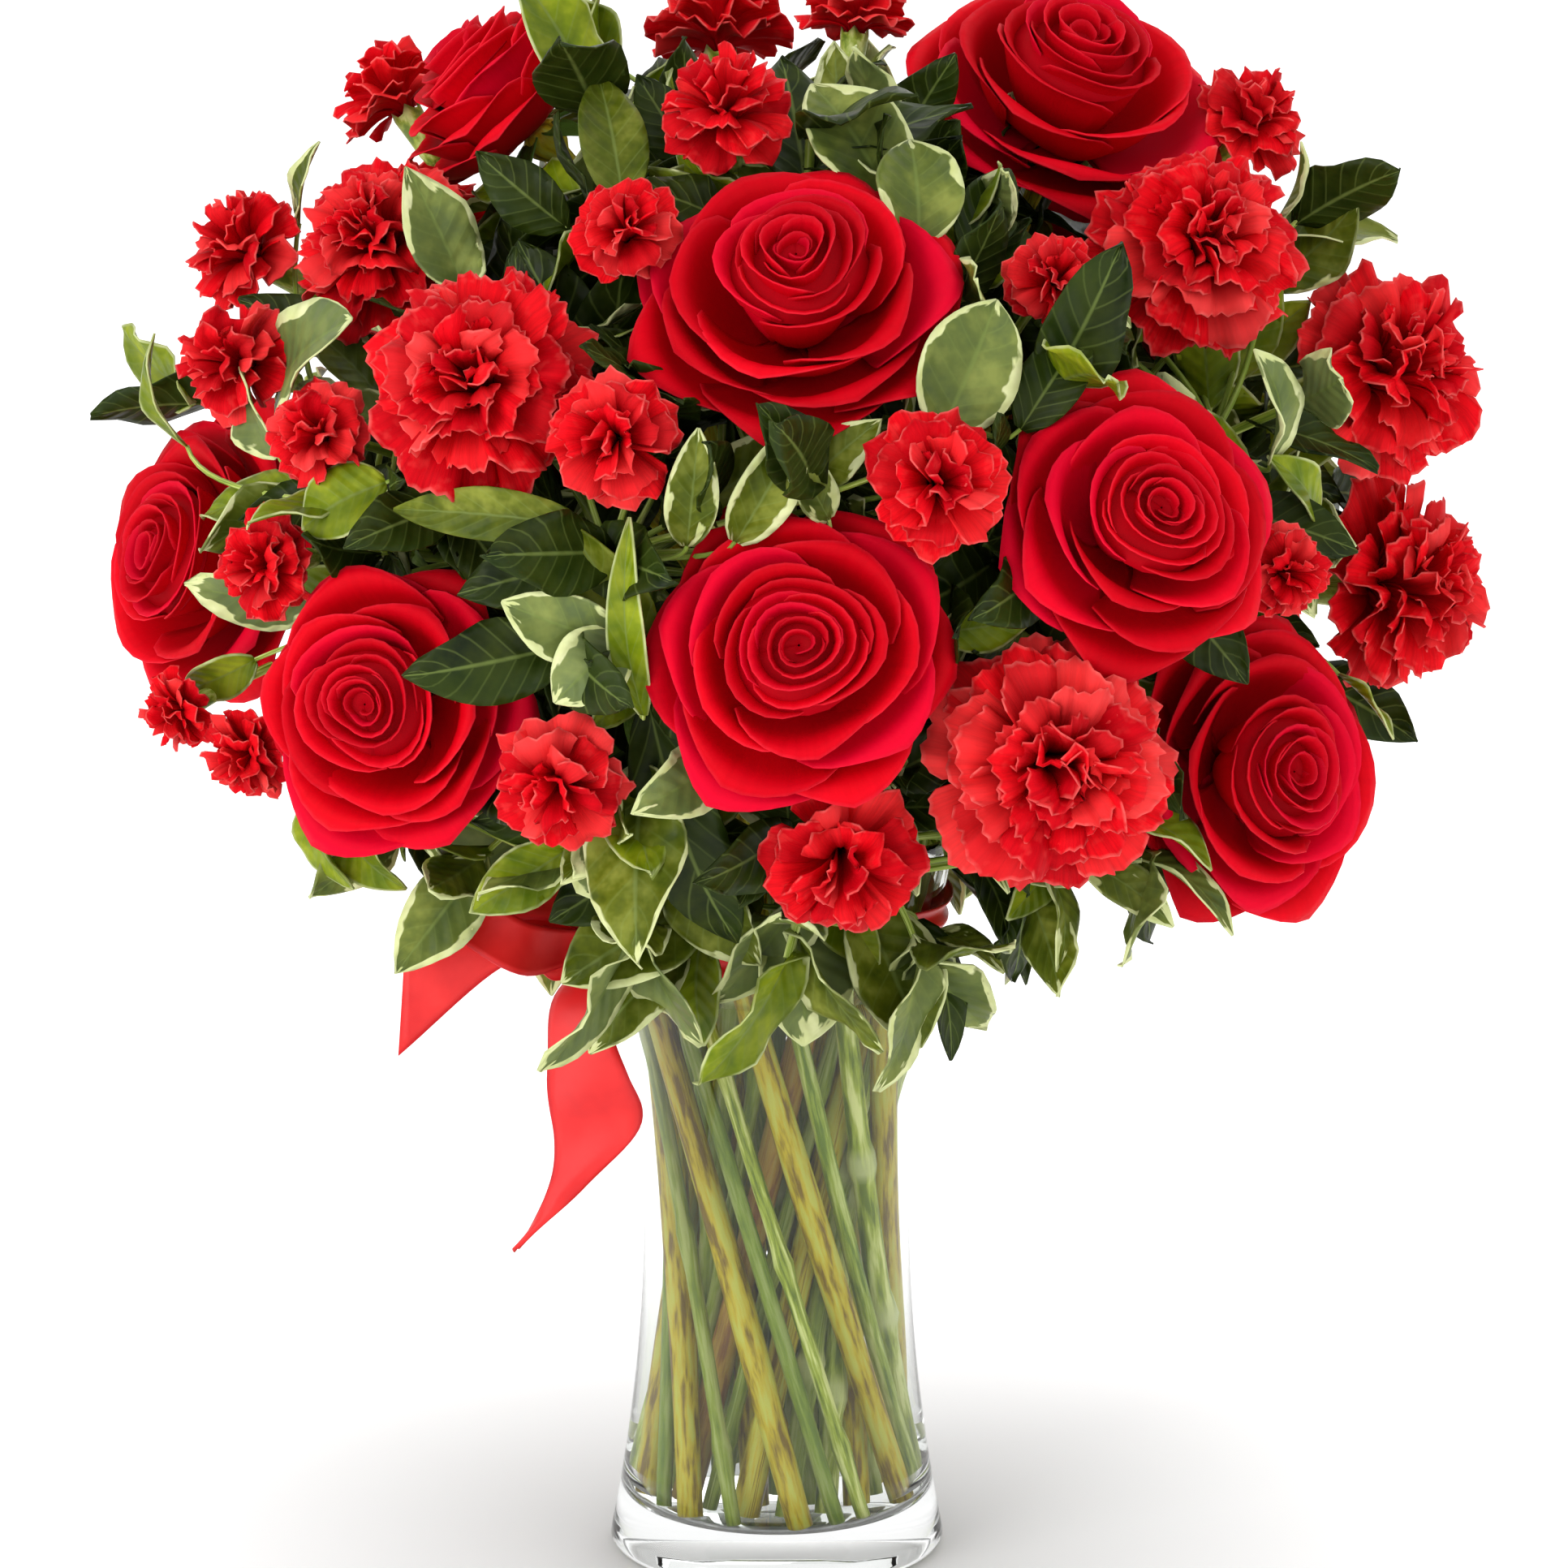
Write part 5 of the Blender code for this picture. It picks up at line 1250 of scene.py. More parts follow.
def glass_profile():
    """Half of the vase's section: up the outside, over the lip, down to the inner floor."""
    foot = vase_radius(2.0)
    lip = vase_radius(VASE_HEIGHT)
    low = [(0.5, 0.8), (30.0, 0.8), (38.0, 0.4), (41.0, 0.0), (foot - 2.6, 0.0), (foot - 1.0, 0.5),
           (foot - 0.1, 2.0)]
    outer = [(vase_radius(z), z) for z in np.linspace(5.0, VASE_HEIGHT - 1.6, 46)]
    rim = [(lip - 0.3, VASE_HEIGHT - 0.6), (lip - GLASS_WALL / 2, VASE_HEIGHT),
           (lip - GLASS_WALL + 0.3, VASE_HEIGHT - 0.6)]
    inner = [(inner_radius(z), z) for z in np.linspace(VASE_HEIGHT - 1.6, 22.0, 42)]
    floor = [(inner_radius(18.0, 1.0), 17.0), (inner_radius(14.0, 4.0), 13.4),
             (inner_radius(12.0, 9.0), GLASS_FLOOR), (14.0, GLASS_FLOOR), (0.5, GLASS_FLOOR)]
    return low + outer + rim + inner + floor


def water_profile():
    """Half of the water's section, a hair into the glass, with its edge raised at the wall."""
    bottom = GLASS_FLOOR - WATER_LAP
    floor = [(0.5, bottom), (14.0, bottom), (inner_radius(12.0, 9.0), bottom),
             (inner_radius(14.0, 3.9), 13.3), (inner_radius(18.0, 0.9), 17.0)]
    wall = [(inner_radius(z, -WATER_LAP), z) for z in np.linspace(24.0, WATER_TOP + 0.6, 34)]
    edge = inner_radius(WATER_TOP)
    return floor + wall + [(edge - 0.9, WATER_TOP + 0.1), (edge - 2.4, WATER_TOP - 0.3),
                           (20.0, WATER_TOP - 0.35), (0.5, WATER_TOP - 0.35)]


def turned_piece(name, profile, materials, slot, node, sides=112):
    """A piece turned round the vase's axis, from half of its section."""
    skin = Skin()
    profile = np.array(profile)[:, None]
    turns = np.arange(sides) * 2 * math.pi / sides
    radius = profile[:, :, 0]
    z = profile[:, :, 1]
    skin.tube(stacked(radius * np.cos(turns), radius * np.sin(turns), z),
              stacked(z / 100.0, turns, 0.0), (0.0, 0.0, 0.0))
    skin.piece(name, materials, slot, node)


def satin(name, grid, materials):
    """A strip of ribbon from its grid."""
    skin = Skin()
    rows, columns = grid.shape[:2]
    mark = stacked(np.linspace(0, 1, rows)[:, None], np.linspace(-1, 1, columns), 0.0)
    skin.sheet(grid, RIBBON_THICK, mark, (0.0, 0.0, 0.0))
    piece = skin.piece(name, materials, "red_satin", "ribbon")


def strip_grid(rails, steps, cup, wave, columns=9):
    """Rows across a ribbon between its two edges, a little cupped and waved."""
    first = smooth_route(rails[0], steps)
    second = smooth_route(rails[1], steps)
    ahead = np.gradient((first + second) / 2, axis=0)
    shares = np.linspace(0.0, 1.0, columns)
    rows = []
    for k, (a, b, forward) in enumerate(zip(first, second, ahead)):
        out = unit(np.cross(forward, b - a))
        bulge = cup * 4 * shares * (1 - shares) + wave * math.sin(k * 0.5) * (shares - 0.5)
        rows.append(a + (b - a) * shares[:, None] + out * bulge[:, None])
    return np.array(rows)


def band_grid(rows=121, columns=13):
    """The ribbon round the neck, gathered in shallow pleats, with its ends behind the bow."""
    grid = []
    shares = np.linspace(0.0, 1.0, columns)
    for a in 2 * math.pi * np.arange(rows) / (rows - 1) + math.radians(212.0):
        z = BAND_LOW + (BAND_HIGH - BAND_LOW) * shares + 0.5 * math.sin(5 * a)
        pleats = 0.75 * np.sin(2 * math.pi * (2.4 * shares + 0.25 * math.sin(2 * a)))
        radius = np.array([vase_radius(height) for height in z]) + 1.6 + pleats
        grid.append(stacked(radius * math.cos(a), radius * math.sin(a), z))
    return np.array(grid)


def knot_grid(rows=25, columns=17):
    """A short turn of ribbon pulled tight over the bow's middle."""
    out = unit(np.array((KNOT[0], KNOT[1], 0.0)))
    side = np.array((-out[1], out[0], 0.0))
    up = np.array((0.0, 0.0, 1.0))
    a = (2 * math.pi * np.arange(rows) / (rows - 1))[:, None, None]
    v = np.linspace(-1.0, 1.0, columns)[:, None]
    pinch = 1.0 - 0.22 * v * v + 0.05 * np.sin(9 * v + a)
    return (np.array(KNOT) + out * np.cos(a) * 7.6 * pinch + up * np.sin(a) * 8.4 * pinch
            + side * v * (6.6 + 0.8 * np.cos(a)))


def ribbon(materials):
    """The band round the neck, the knot, a loop and two tails."""
    satin("ribbon_band", band_grid(), materials)
    satin("ribbon_knot", knot_grid(), materials)
    for name, rails, steps, cup, wave, held in (("ribbon_loop", LOOP, 44, 1.2, 1.4, "folded"),
                                                ("ribbon_tail_1", TAIL_ONE, 30, 1.0, 1.0, "hung"),
                                                ("ribbon_tail_2", TAIL_TWO, 44, 1.6, 2.0, "hung")):
        satin(name, strip_grid(rails, steps, cup, wave), materials)


class Shader:
    """A material's node tree, with short calls for the nodes that it uses."""

    def __init__(self, name, roughness, **settings):
        self.material = bpy.data.materials.new(name)
        self.material.use_nodes = True
        self.tree = self.material.node_tree
        self.surface = self.tree.nodes["Principled BSDF"]
        self.surface.inputs["Roughness"].default_value = roughness
        for label, value in settings.items():
            self.surface.inputs[label.replace("_", " ")].default_value = value

    def feed(self, socket, value):
        """Give a socket a number, a colour or what another node puts out."""
        if isinstance(value, bpy.types.NodeSocket):
            self.tree.links.new(value, socket)
        else:
            socket.default_value = (*value, 1.0) if isinstance(value, tuple) else value

    def put(self, kind, settings, *links):
        """A new node with its settings, linked from what it takes in."""
        node = self.tree.nodes.new(kind)
        for label, value in settings.items():
            if label in node.inputs:
                node.inputs[label].default_value = value
            else:
                setattr(node, label, value)
        for socket, source in links:
            self.tree.links.new(source, node.inputs[socket])
        return node

    def marks(self, name):
        """The three marks of a vertex attribute."""
        settings = {"attribute_type": "GEOMETRY", "attribute_name": name}
        attribute = self.put("ShaderNodeAttribute", settings)
        split = self.put("ShaderNodeSeparateXYZ", {}, (0, attribute.outputs["Vector"]))
        return split.outputs[0], split.outputs[1], split.outputs[2]

    def place(self):
        """Where a point is on the object, in metres."""
        return self.put("ShaderNodeTexCoord", {}).outputs["Object"]

    def math(self, operation, a, b=0.0):
        """One sum; each side is a number or a socket."""
        node = self.put("ShaderNodeMath", {"operation": operation})
        self.feed(node.inputs[0], a)
        self.feed(node.inputs[1], b)
        return node.outputs[0]

    def add(self, a, b):
        """Two values added."""
        return self.math("ADD", a, b)

    def times(self, a, b):
        """Two values multiplied."""
        return self.math("MULTIPLY", a, b)

    def noise(self, scale, detail=3.0, vector=None, roughness=0.55):
        """Noise from 0 to 1, by default over the object's place."""
        source = self.place() if vector is None else vector
        settings = {"Scale": scale, "Detail": detail, "Roughness": roughness}
        return self.put("ShaderNodeTexNoise", settings, ("Vector", source)).outputs["Fac"]

    def drawn_out(self, marks, scales, detail=4.0, roughness=0.55):
        """Noise over three marks, each with its own scale, so that it runs along a form."""
        node = self.put("ShaderNodeCombineXYZ", {})
        for socket, mark, scale in zip(node.inputs, marks, scales):
            self.feed(socket, self.times(mark, scale))
        return self.noise(1.0, detail, node.outputs[0], roughness)

    def ramp(self, share, *stops):
        """A colour read from stops along a share."""
        node = self.put("ShaderNodeValToRGB", {}, ("Fac", share))
        while len(node.color_ramp.elements) < len(stops):
            node.color_ramp.elements.new(0.5)
        for element, (place, colour) in zip(node.color_ramp.elements, stops):
            element.position = place
            element.color = (*colour, 1.0)
        return node.outputs["Color"]

    def level(self, share, *stops):
        """A grey value read from stops along a share."""
        return self.ramp(share, *[(place, (value, value, value)) for place, value in stops])

    def mix(self, share, a, b):
        """Two colours mixed; each is a colour or a socket."""
        node = self.put("ShaderNodeMix", {"data_type": "RGBA"})
        for socket, value in (("Factor", share), (6, a), (7, b)):
            self.feed(node.inputs[socket], value)
        return node.outputs[2]

    def tint(self, base, colour, share, *stops):
        """A colour laid over another, as much as the stops along a share say."""
        return self.mix(self.level(share, *stops), base, colour)

    def bump(self, height, strength, distance):
        """Small relief."""
        settings = {"Strength": strength, "Distance": distance}
        node = self.put("ShaderNodeBump", settings, ("Height", height))
        self.feed(self.surface.inputs["Normal"], node.outputs[0])

    def finish(self, colour, roughness=None):
        """Join the colour and the roughness to the surface."""
        self.feed(self.surface.inputs["Base Color"], colour)
        if roughness is not None:
            self.feed(self.surface.inputs["Roughness"], roughness)
        return self.material


def rose_petal_material():
    """Velvety red: painted shade darker towards the foot and in the heart, a soft painted pale
    highlight along the rim, faint veins.
    """
    shader = Shader("rose_petal", 0.6, Specular_IOR_Level=0.05)
    marks = shader.marks("mark")
    along, _, seed = marks
    reach = shader.marks("extra")[1]
    veins = shader.drawn_out(marks, (2.2, 13.0, 40.0), roughness=0.6)
    cloud = shader.noise(48.0)
    # Painted shade darkens each petal towards its foot, where the petals crowd together, and a
    # painted pale highlight lightens its rim
    colour = shader.ramp(along, (0.0, (0.32, 0.0, 0.001)), (0.42, (0.50, 0.0, 0.003)),
                         (0.80, (0.66, 0.0, 0.006)), (0.965, (0.72, 0.001, 0.010)),
                         (1.0, (0.84, 0.016, 0.034)))
    colour = shader.tint(colour, (0.42, 0.0, 0.004), veins, (0.38, 0.0), (0.78, 0.30))
    colour = shader.tint(colour, (0.80, 0.001, 0.016), cloud, (0.35, 0.0), (0.75, 0.35))
    # Some petals are darker and some are pinker at random, and painted shade makes the petals of
    # the heart darkest
    colour = shader.tint(colour, (0.34, 0.0, 0.004), seed, (0.25, 0.45), (0.45, 0.0))
    colour = shader.tint(colour, (0.74, 0.001, 0.036), seed, (0.70, 0.0), (0.85, 0.5))
    colour = shader.tint(colour, (0.36, 0.0, 0.008), reach, (0.05, 0.5), (0.5, 0.0))
    shader.bump(veins, 0.25, 0.0005)
    return shader.finish(colour, shader.level(cloud, (0.3, 0.52), (0.7, 0.68)))


def carnation_petal_material():
    """Bright red with darker streaks; painted shade darkens it towards the foot and in the inner
    layers; some petals are paler at random, and painted pale highlights lie in patches and at the
    teeth.
    """
    shader = Shader("carnation_petal", 0.62, Specular_IOR_Level=0.05)
    marks = shader.marks("mark")
    along, _, seed = marks
    inner, pale = shader.marks("extra")[1:]
    veins = shader.drawn_out(marks, (2.0, 15.0, 40.0), roughness=0.6)
    cloud = shader.noise(60.0)
    patch = shader.noise(210.0, 2.0)
    # Painted shade: each petal is darker towards its foot, deep among the others
    colour = shader.ramp(along, (0.0, (0.32, 0.0, 0.002)), (0.45, (0.54, 0.0, 0.004)),
                         (0.80, (0.70, 0.001, 0.006)), (1.0, (0.84, 0.003, 0.010)))
    colour = shader.tint(colour, (0.36, 0.0, 0.003), veins, (0.42, 0.0), (0.66, 0.55))
    colour = shader.tint(colour, (0.34, 0.0, 0.005), seed, (0.30, 0.55), (0.50, 0.0))
    colour = shader.tint(colour, (0.90, 0.004, 0.012), cloud, (0.40, 0.0), (0.70, 0.35))
    # Painted pale highlights in patches of the outer half, over petals that are paler at random,
    # and painted glints in short stretches of the rim
    paler_and_painted_highlight = shader.math("MAXIMUM", pale, shader.level(patch, (0.56, 0.0), (0.68, 0.32)))
    paler_and_painted_highlight = shader.times(shader.level(along, (0.50, 0.0), (1.0, 0.8)), paler_and_painted_highlight)
    colour = shader.mix(paler_and_painted_highlight, colour, (1.0, 0.075, 0.070))
    rim = shader.times(shader.level(along, (0.97, 0.0), (1.0, 0.5)),
                       shader.level(patch, (0.42, 0.1), (0.55, 1.0)))
    colour = shader.mix(rim, colour, (0.95, 0.20, 0.18))
    # Painted shade: the inner layers, crumpled together in the middle, are darker
    colour = shader.tint(colour, (0.50, 0.0, 0.008), inner, (0.3, 0.0), (1.0, 0.22))
    shader.bump(veins, 0.35, 0.0006)
    return shader.finish(colour, shader.level(cloud, (0.3, 0.52), (0.7, 0.7)))


def leaf_margin(shader, away_from_edge, tone, drift):
    """Where the cream margin is: wavy, and wider on paler leaves; none on plain ones."""
    paler = shader.math("SUBTRACT", tone, MARGIN_TONE)
    wide = shader.add(shader.add(shader.times(drift, MARGIN_WANDER), MARGIN_WIDE),
                      shader.times(paler, MARGIN_PALER))
    within = shader.level(shader.math("SUBTRACT", wide, away_from_edge), (0.0, 0.0), (0.45, 1.0))
    return shader.times(within, shader.level(tone, (0.70, 0.0), (0.74, 1.0)))


def leaf_green(shader, blotch, tone):
    """The blade's green: blotched, bright or dark by the leaf's tone, greyer on the palest. The
    dark green is painted shade.
    """
    green = shader.ramp(blotch, (0.30, (0.050, 0.075, 0.003)), (0.50, (0.12, 0.15, 0.007)),
                        (0.68, (0.24, 0.27, 0.035)))
    bright = shader.ramp(blotch, (0.3, (0.10, 0.16, 0.002)), (0.5, (0.19, 0.25, 0.005)),
                         (0.7, (0.32, 0.37, 0.016)))
    dark = shader.ramp(blotch, (0.3, (0.006, 0.014, 0.001)), (0.7, (0.030, 0.044, 0.003)))
    colour = shader.tint(green, bright, tone, (0.40, 0.0), (0.45, 1.0), (0.62, 1.0), (0.66, 0.0))
    colour = shader.tint(colour, dark, tone, (0.30, 1.0), (0.38, 0.0))
    return shader.tint(colour, (0.24, 0.31, 0.15), tone, (0.86, 0.0), (0.96, 0.45))


def leaf_material():
    """Blotched leaves with wavy cream margins; the plain ones are dark or bright. The dark green is
    painted shade, and one half of each blade is darkened by painted shade.
    """
    shader = Shader("variegated_leaf", 0.42, Specular_IOR_Level=0.14)
    marks = shader.marks("mark")
    along, across, _ = marks
    edge, tone, _ = shader.marks("extra")
    blotch = shader.noise(120.0)
    drift = shader.drawn_out(marks, (3.2, 1.6, 60.0), 2.5)
    # Side veins that slant forward, and the rib in the middle
    away = shader.math("ABSOLUTE", across)
    slanted = shader.math("SUBTRACT", along, shader.times(away, 0.22))
    rows = shader.math("SINE", shader.times(slanted, 46.0))
    veins = shader.math("MAXIMUM", shader.level(rows, (0.88, 0.0), (1.0, 0.20)),
                        shader.level(away, (0.02, 0.6), (0.07, 0.0)))
    colour = shader.mix(veins, leaf_green(shader, blotch, tone), (0.22, 0.29, 0.07))
    # Painted shade: one half of the folded blade is darker
    half = shader.add(shader.times(across, 0.5), 0.5)
    colour = shader.tint(colour, (0.030, 0.055, 0.005), half, (0.42, 0.0), (0.52, 0.32))
    cream = shader.ramp(blotch, (0.3, (0.52, 0.58, 0.21)), (0.7, (0.74, 0.77, 0.42)))
    colour = shader.mix(leaf_margin(shader, edge, tone, drift), colour, cream)
    # A thin pale rim, broken in places, on all but the dark leaves
    rim = shader.times(shader.level(edge, (0.25, 0.8), (0.75, 0.0)),
                       shader.level(tone, (0.40, 0.0), (0.45, 1.0)))
    rim = shader.times(rim, shader.level(drift, (0.38, 0.15), (0.58, 1.0)))
    colour = shader.mix(rim, colour, (0.64, 0.70, 0.34))
    shader.bump(shader.add(rows, shader.times(blotch, 2.0)), 0.25, 0.0005)
    return shader.finish(colour, shader.level(blotch, (0.3, 0.36), (0.7, 0.52)))


def rose_stem_material():
    """Olive and brown bark-like green, with reddish thorns; the sepals are green."""
    shader = Shader("rose_stem", 0.45, Specular_IOR_Level=0.35)
    marks = shader.marks("mark")
    tone = shader.marks("extra")[1]
    flow = shader.drawn_out(marks, (6.0, 9.0, 30.0))
    colour = shader.ramp(flow, (0.38, (0.24, 0.15, 0.004)), (0.5, (0.66, 0.52, 0.015)),
                         (0.62, (0.66, 0.66, 0.10)))
    colour = shader.tint(colour, (0.38, 0.13, 0.055), marks[2], (0.70, 0.0), (0.74, 0.55))
    colour = shader.tint(colour, (0.085, 0.19, 0.025), tone, (0.2, 0.0), (0.4, 1.0))
    colour = shader.tint(colour, (0.36, 0.08, 0.02), tone, (0.7, 0.0), (0.9, 1.0))
    shader.bump(flow, 0.3, 0.0006)
    return shader.finish(colour, shader.level(flow, (0.3, 0.38), (0.7, 0.55)))


def carnation_stem_material():
    """Fresh green with a pale bloom of wax, paler still at the joints."""
    shader = Shader("carnation_stem", 0.5, Sheen_Weight=0.05, Specular_IOR_Level=0.35)
    marks = shader.marks("mark")
    _, tone, pale = shader.marks("extra")
    flow = shader.drawn_out(marks, (5.0, 8.0, 30.0))
    colour = shader.ramp(flow, (0.38, (0.16, 0.24, 0.008)), (0.5, (0.46, 0.57, 0.055)),
                         (0.62, (0.85, 0.92, 0.34)))
    colour = shader.tint(colour, (0.17, 0.25, 0.010), marks[2], (0.55, 0.0), (0.60, 0.6))
    colour = shader.tint(colour, (0.74, 0.80, 0.36), pale, (0.15, 0.0), (0.9, 0.8))
    colour = shader.tint(colour, (0.13, 0.27, 0.045), tone, (0.2, 0.0), (0.5, 0.8))
    shader.bump(flow, 0.25, 0.0005)
    return shader.finish(colour, shader.level(flow, (0.3, 0.42), (0.7, 0.6)))


def satin_material():
    """Red satin: a fine cross-weave, soft folds and a broad sheen."""
    shader = Shader("red_satin", 0.33, Sheen_Weight=0.04, Sheen_Roughness=0.3,
                    Sheen_Tint=(1.0, 0.45, 0.4, 1.0), Anisotropic=0.4, Specular_IOR_Level=0.35)
    along, across, _ = shader.marks("mark")
    warp = shader.math("SINE", shader.times(across, THREADS[0]))
    weft = shader.math("SINE", shader.times(along, THREADS[1]))
    cloud = shader.noise(60.0)
    colour = shader.ramp(cloud, (0.3, (0.68, 0.008, 0.010)), (0.6, (0.84, 0.020, 0.020)),
                         (0.8, (0.92, 0.040, 0.036)))
    away = shader.math("ABSOLUTE", across)
    colour = shader.tint(colour, (0.55, 0.0, 0.008), away, (0.90, 0.0), (0.96, 0.5))
    shader.bump(shader.add(shader.times(warp, weft), shader.times(cloud, 3.0)), 0.15, 0.0003)
    return shader.finish(colour, shader.level(cloud, (0.3, 0.28), (0.7, 0.42)))


def clear_material(name, ior, scale, deep, light):
    """Glass or water: clear, with a trace of green that drifts a little."""
    shader = Shader(name, 0.0, Transmission_Weight=1.0, IOR=ior)
    return shader.finish(shader.ramp(shader.noise(scale, 2.0), (0.3, deep), (0.7, light)))


def floor_material():
    """White paper with a painted soft shadow, a little greyer round the vase's foot, and lit from
    within further out.
    """
    shader = Shader("floor", 0.7, Emission_Strength=0.35, Specular_IOR_Level=0.2)
    away = shader.put("ShaderNodeVectorMath", {"operation": "LENGTH"}, (0, shader.place()))
    away = away.outputs["Value"]
    glow = shader.level(away, (0.05, 0.0), (0.28, 1.0))
    shader.feed(shader.surface.inputs["Emission Color"], glow)
    # Painted shadow: the paper is greyer round the vase's foot
    colour = shader.ramp(away, (0.05, (0.78, 0.78, 0.782)), (0.28, (0.92, 0.92, 0.921)))
    return shader.finish(colour)


def all_materials():
    """Every material, by the slot that it fills."""
    carnation = carnation_petal_material()
    return {
        "rose_petal": rose_petal_material(),
        "carnation_petal": carnation,
        "spray_carnation": carnation,
        "variegated_leaf": leaf_material(),
        "rose_stem": rose_stem_material(),
        "carnation_stem": carnation_stem_material(),
        "red_satin": satin_material(),
        "clear_glass": clear_material("clear_glass", 1.28, 26.0, (0.975, 0.99, 0.982),
                                      (0.99, 0.997, 0.994)),
        "water": clear_material("water", 1.15, 14.0, (0.975, 0.99, 0.975), (0.99, 0.997, 0.99)),
    }


def add_camera():
    """The camera in front, tilted down a little, as the photograph was taken."""
    tilt = math.radians(CAMERA_TILT)
    back = Vector((0.0, -math.cos(tilt), math.sin(tilt)))
    data = bpy.data.cameras.new("camera")
    data.lens = CAMERA_LENS
    data.sensor_width = 36.0
    data.clip_start = 0.01
    camera = bpy.data.objects.new("camera", data)
    camera.location = Vector(CAMERA_TARGET) + back * CAMERA_DISTANCE
    camera.rotation_euler = (math.radians(90.0 - CAMERA_TILT), 0.0, 0.0)
    bpy.context.collection.objects.link(camera)
    bpy.context.scene.camera = camera


def add_light(name, place, height, size, power):
    """One soft square light aimed at the vase's axis."""
    data = bpy.data.lights.new(name, "AREA")
    data.size = size
    data.energy = power
    light = bpy.data.objects.new(name, data)
    light.location = place
    aim = Vector((0.0, 0.0, height)) - Vector(place)
    light.rotation_euler = aim.to_track_quat("-Z", "Y").to_euler()
    bpy.context.collection.objects.link(light)


def add_studio():
    """A white surround, a pale floor and three soft lights."""
    world = bpy.data.worlds.new("surround")
    world.use_nodes = True
    background = world.node_tree.nodes["Background"]
    background.inputs["Color"].default_value = (1.0, 1.0, 1.0, 1.0)
    background.inputs["Strength"].default_value = 1.0
    bpy.context.scene.world = world
    bpy.context.scene.view_settings.view_transform = "Standard"
    for name, settings in LIGHTS.items():
        add_light(name, *settings)
    mesh = bpy.data.meshes.new("floor")
    corners = [(x * FLOOR_REACH, y * FLOOR_REACH, -FLOOR_DROP)
               for x, y in ((-1, -1), (1, -1), (1, 1), (-1, 1))]
    mesh.from_pydata(corners, [], [(0, 1, 2, 3)])
    mesh.materials.append(floor_material())
    floor = bpy.data.objects.new("floor", mesh)
    bpy.context.collection.objects.link(floor)


def green_spray(name, line, main, twigs, leaves, more, materials):
    """A leafy stem: its own leaves, and the extra twigs and leaves that fill in round it."""
    draw = random.Random(len(name) + int(name[-1]) * GREEN_SEED)
    more_twigs, more_leaves, shown = more
    wood = Skin()
    blades = Skin()
    path, radii = main_stem(name, line, main)
    marked_tube(wood, path, radii, SLIM_SIDES, WOOD_TONE, draw.random())
    for curves, rows, sides, thick, thin in ((twigs, BRANCH_ROWS, BRANCH_SIDES, BRANCH, 0.8),
                                             (more_twigs, TWIG_ROWS, TWIG_SIDES, 1.1, 0.6)):
        for controls in curves:
            radii = np.linspace(thick, thin, rows)
            marked_tube(wood, bezier(controls, rows), radii, sides, WOOD_TONE, draw.random())
    for leaf in leaves:
        root = leaf[0][1]
        # Leaves among the blooms mostly get the dark tone, a painted shade, as do those in the
        # shaded hollow
        tone = leaf_tone(draw, 0.60 if root[2] > COLLAR_TOP else 0.15, 0.20)
        if np.linalg.norm(root - QUIET_PLACE) < QUIET_REACH:
            tone = QUIET_TONE
        fine_leaf(blades, leaf, tone, draw.random())
    for leaf, tone in more_leaves:
        fine_leaf(blades, leaf, tone, draw.random(), FILLER_GRID)
    for row in shown:
        broad_leaf(blades, *row, draw)
    wood.piece(f"{name}_wood", materials, "carnation_stem", name)
    blades.piece(f"{name}_leaves", materials, "variegated_leaf", name)


def twig_to(routes, end, arrive, pull, reach):
    """A twig from the nearest green stem to a place: the stem's name, its length, its curve."""
    name, start, leave = nearest_green(routes, end)
    span = float(np.linalg.norm(end - start))
    if arrive is None:
        arrive = unit(dome_normal(end) + unit(end - start) * 0.5)
    return name, span, (start, start + leave * pull * span, end - arrive * reach * span, end)


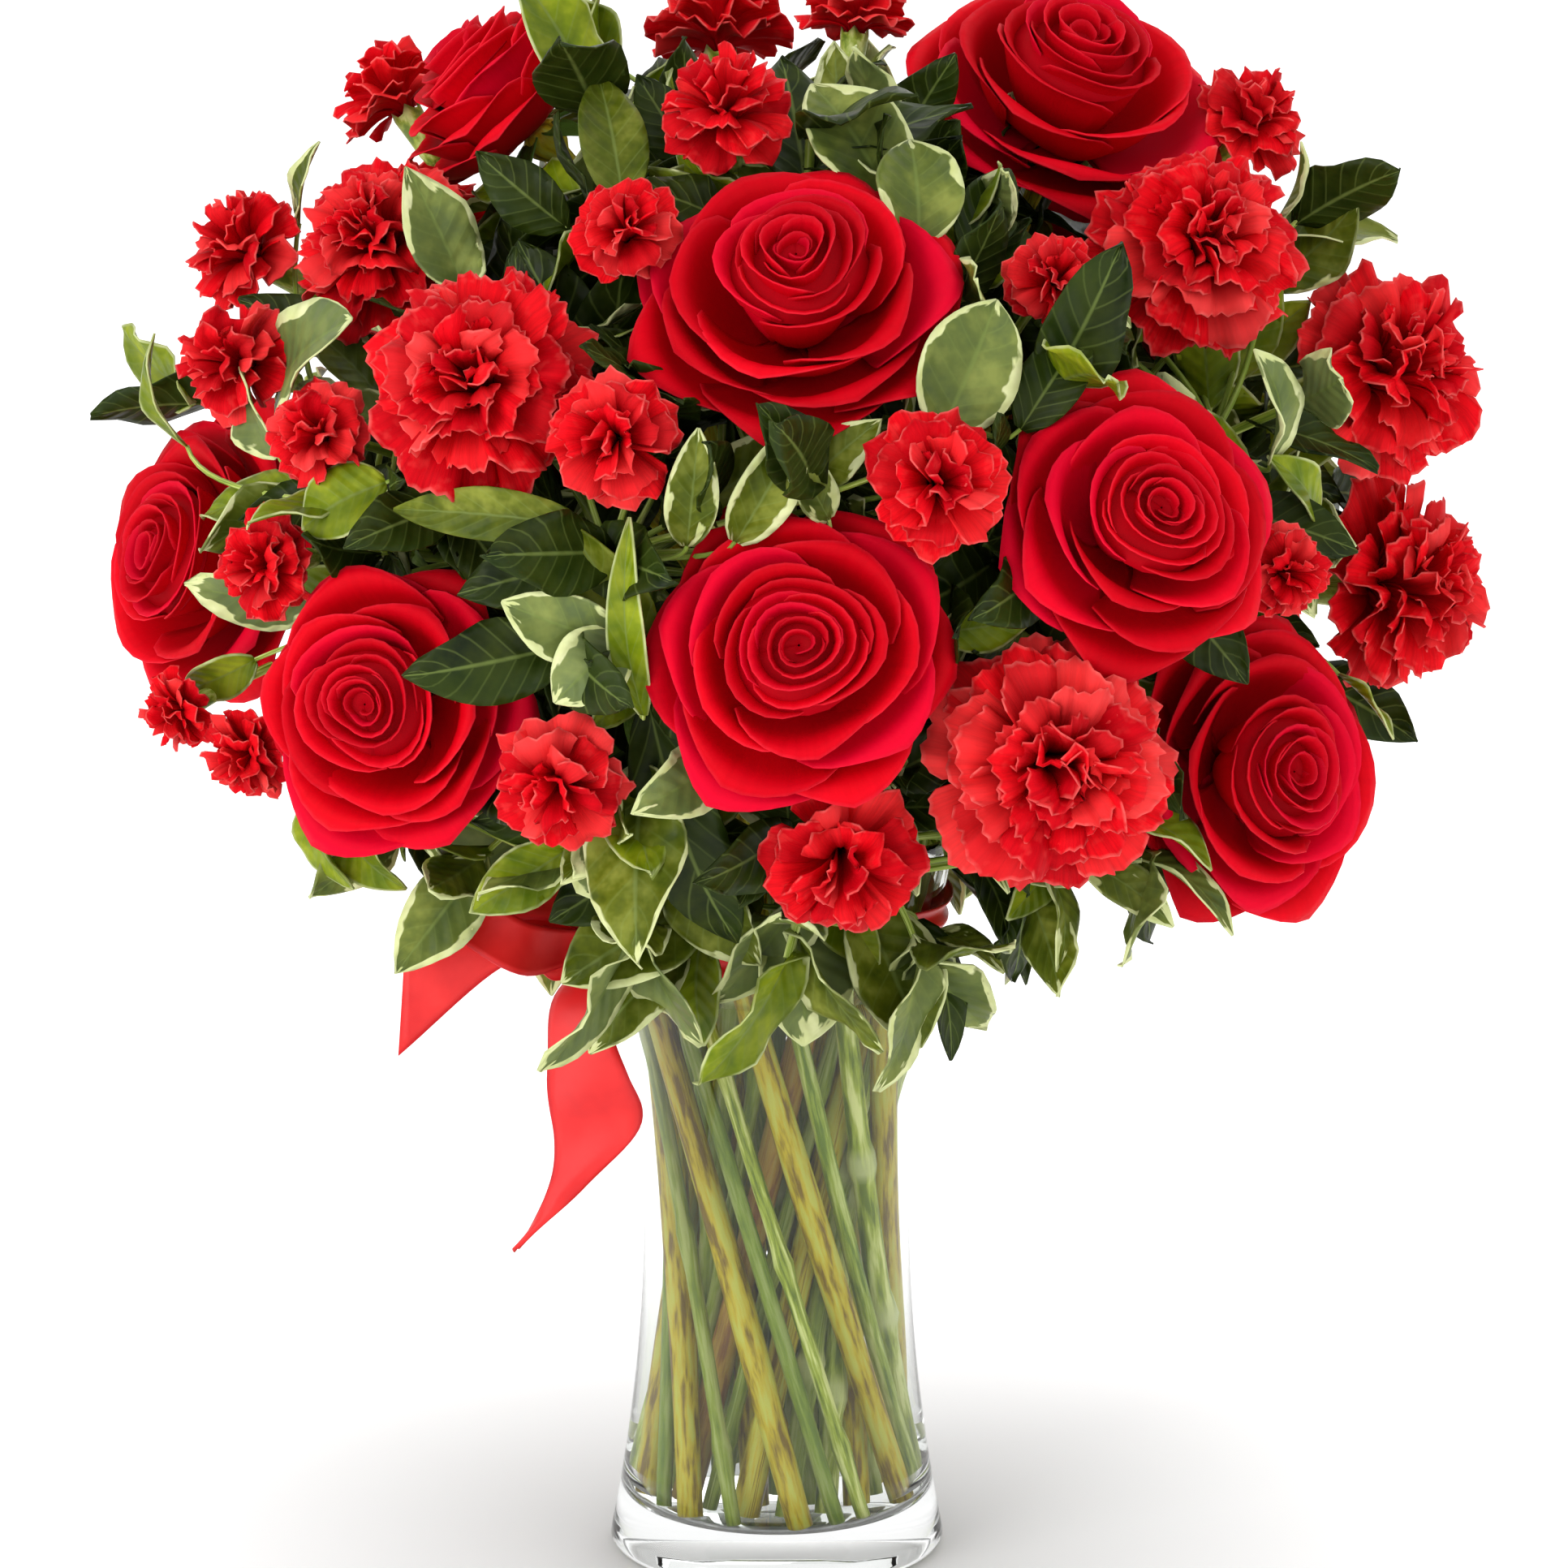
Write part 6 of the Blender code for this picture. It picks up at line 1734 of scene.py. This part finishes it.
def fill_gaps(crowd, routes, box):
    """Extra twigs and leaves in the gaps between the blooms, by the green stem they grow on."""
    box = (np.array(box[0]) / MM + FILL_BOX, np.array(box[1]) / MM - FILL_BOX)
    more = {name: ([], [], []) for name in GREENS}
    draw = random.Random(FILL_SEED)
    for row in list(SHOWN_LEAVES) + sweep_leaves(draw):
        root = np.array(row[0], dtype=float)
        name, _, controls = twig_to(routes, root, unit(np.array(row[1]) - root), 0.3, 0.2)
        more[name][0].append(controls)
        more[name][2].append(row)
    for k in range(FILL_COUNT):
        lift = 1.0 - (k + 0.5) / FILL_COUNT * FILL_DEPTH
        direction = heading((k * GOLDEN_TURN) % 360.0, math.degrees(math.asin(lift)))
        for reach, wide, length, dark, bright in FILL_LAYERS:
            end = DOME_CENTRE + DOME_HALF * direction * (reach + draw.uniform(-0.03, 0.03))
            if crowd.gap("", end[None, :], wide) < 0.0:
                continue
            name, span, controls = twig_to(routes, end, None, 0.35, 0.35)
            if span < FILL_TWIG:
                continue
            found = []
            for j in range(FILL_LEAVES):
                leaf = find_leaf(crowd, name, controls, length, j, draw, FILL_RULE, box)
                if leaf is not None:
                    found.append((leaf, leaf_tone(draw, dark, bright)))
            if found:
                more[name][0].append(controls)
                more[name][1].extend(found)
    return more


def nearest_green(routes, end):
    """The green stem's point, past its neck, that a twig to the end grows from."""
    best = None
    for name in GREENS:
        path = bezier(routes[name], TWIG_POINTS)
        for k in range(*TWIG_CHOICE):
            drops = unit(end - path[k])[2] < TWIG_DROP
            away = np.linalg.norm(path[k] - end) + TWIG_SETBACK * abs(drops)
            if best is None or away < best[0]:
                best = (away, name, path[k], unit(path[k + 1] - path[k]))
    return best[1:]


def build():
    """Make every piece and the studio round them."""
    box = [list(corner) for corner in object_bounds()]
    materials = all_materials()
    crowd = Crowd()
    blooms, heads, lines, routes, branches, leaves = lay_out(crowd)
    turned_piece("vase_glass", glass_profile(), materials, "clear_glass", "vase")
    turned_piece("water_clear", water_profile(), materials, "water", "water")
    ribbon(materials)
    for rows, bloom, stem, seed in ((ROSES, rose_bloom, rose_stem, ROSE_SEED),
                                    (CARNATIONS, carnation_bloom, carnation_stem, CARNATION_SEED)):
        for k, name in enumerate(rows):
            bloom(name, blooms[name], materials, seed + k)
            stem(name, lines[name], routes[name], blooms[name], materials, seed + STEM_SEED + k)
    for k, name in enumerate(SPRAY_CARNATIONS):
        spray_carnation(name, lines[name], routes[name], branches[name], heads[name], materials,
                        SPRAY_SEED + k)
    more = fill_gaps(crowd, routes, box)
    for name in GREENS:
        green_spray(name, lines[name], routes[name], branches[name], leaves[name], more[name],
                    materials)
    add_camera()
    add_studio()


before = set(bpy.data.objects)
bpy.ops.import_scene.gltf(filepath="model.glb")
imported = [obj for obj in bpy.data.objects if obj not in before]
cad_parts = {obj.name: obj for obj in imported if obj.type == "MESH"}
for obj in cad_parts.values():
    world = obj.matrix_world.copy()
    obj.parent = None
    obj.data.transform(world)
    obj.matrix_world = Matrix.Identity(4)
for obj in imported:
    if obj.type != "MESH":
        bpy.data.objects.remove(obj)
build()
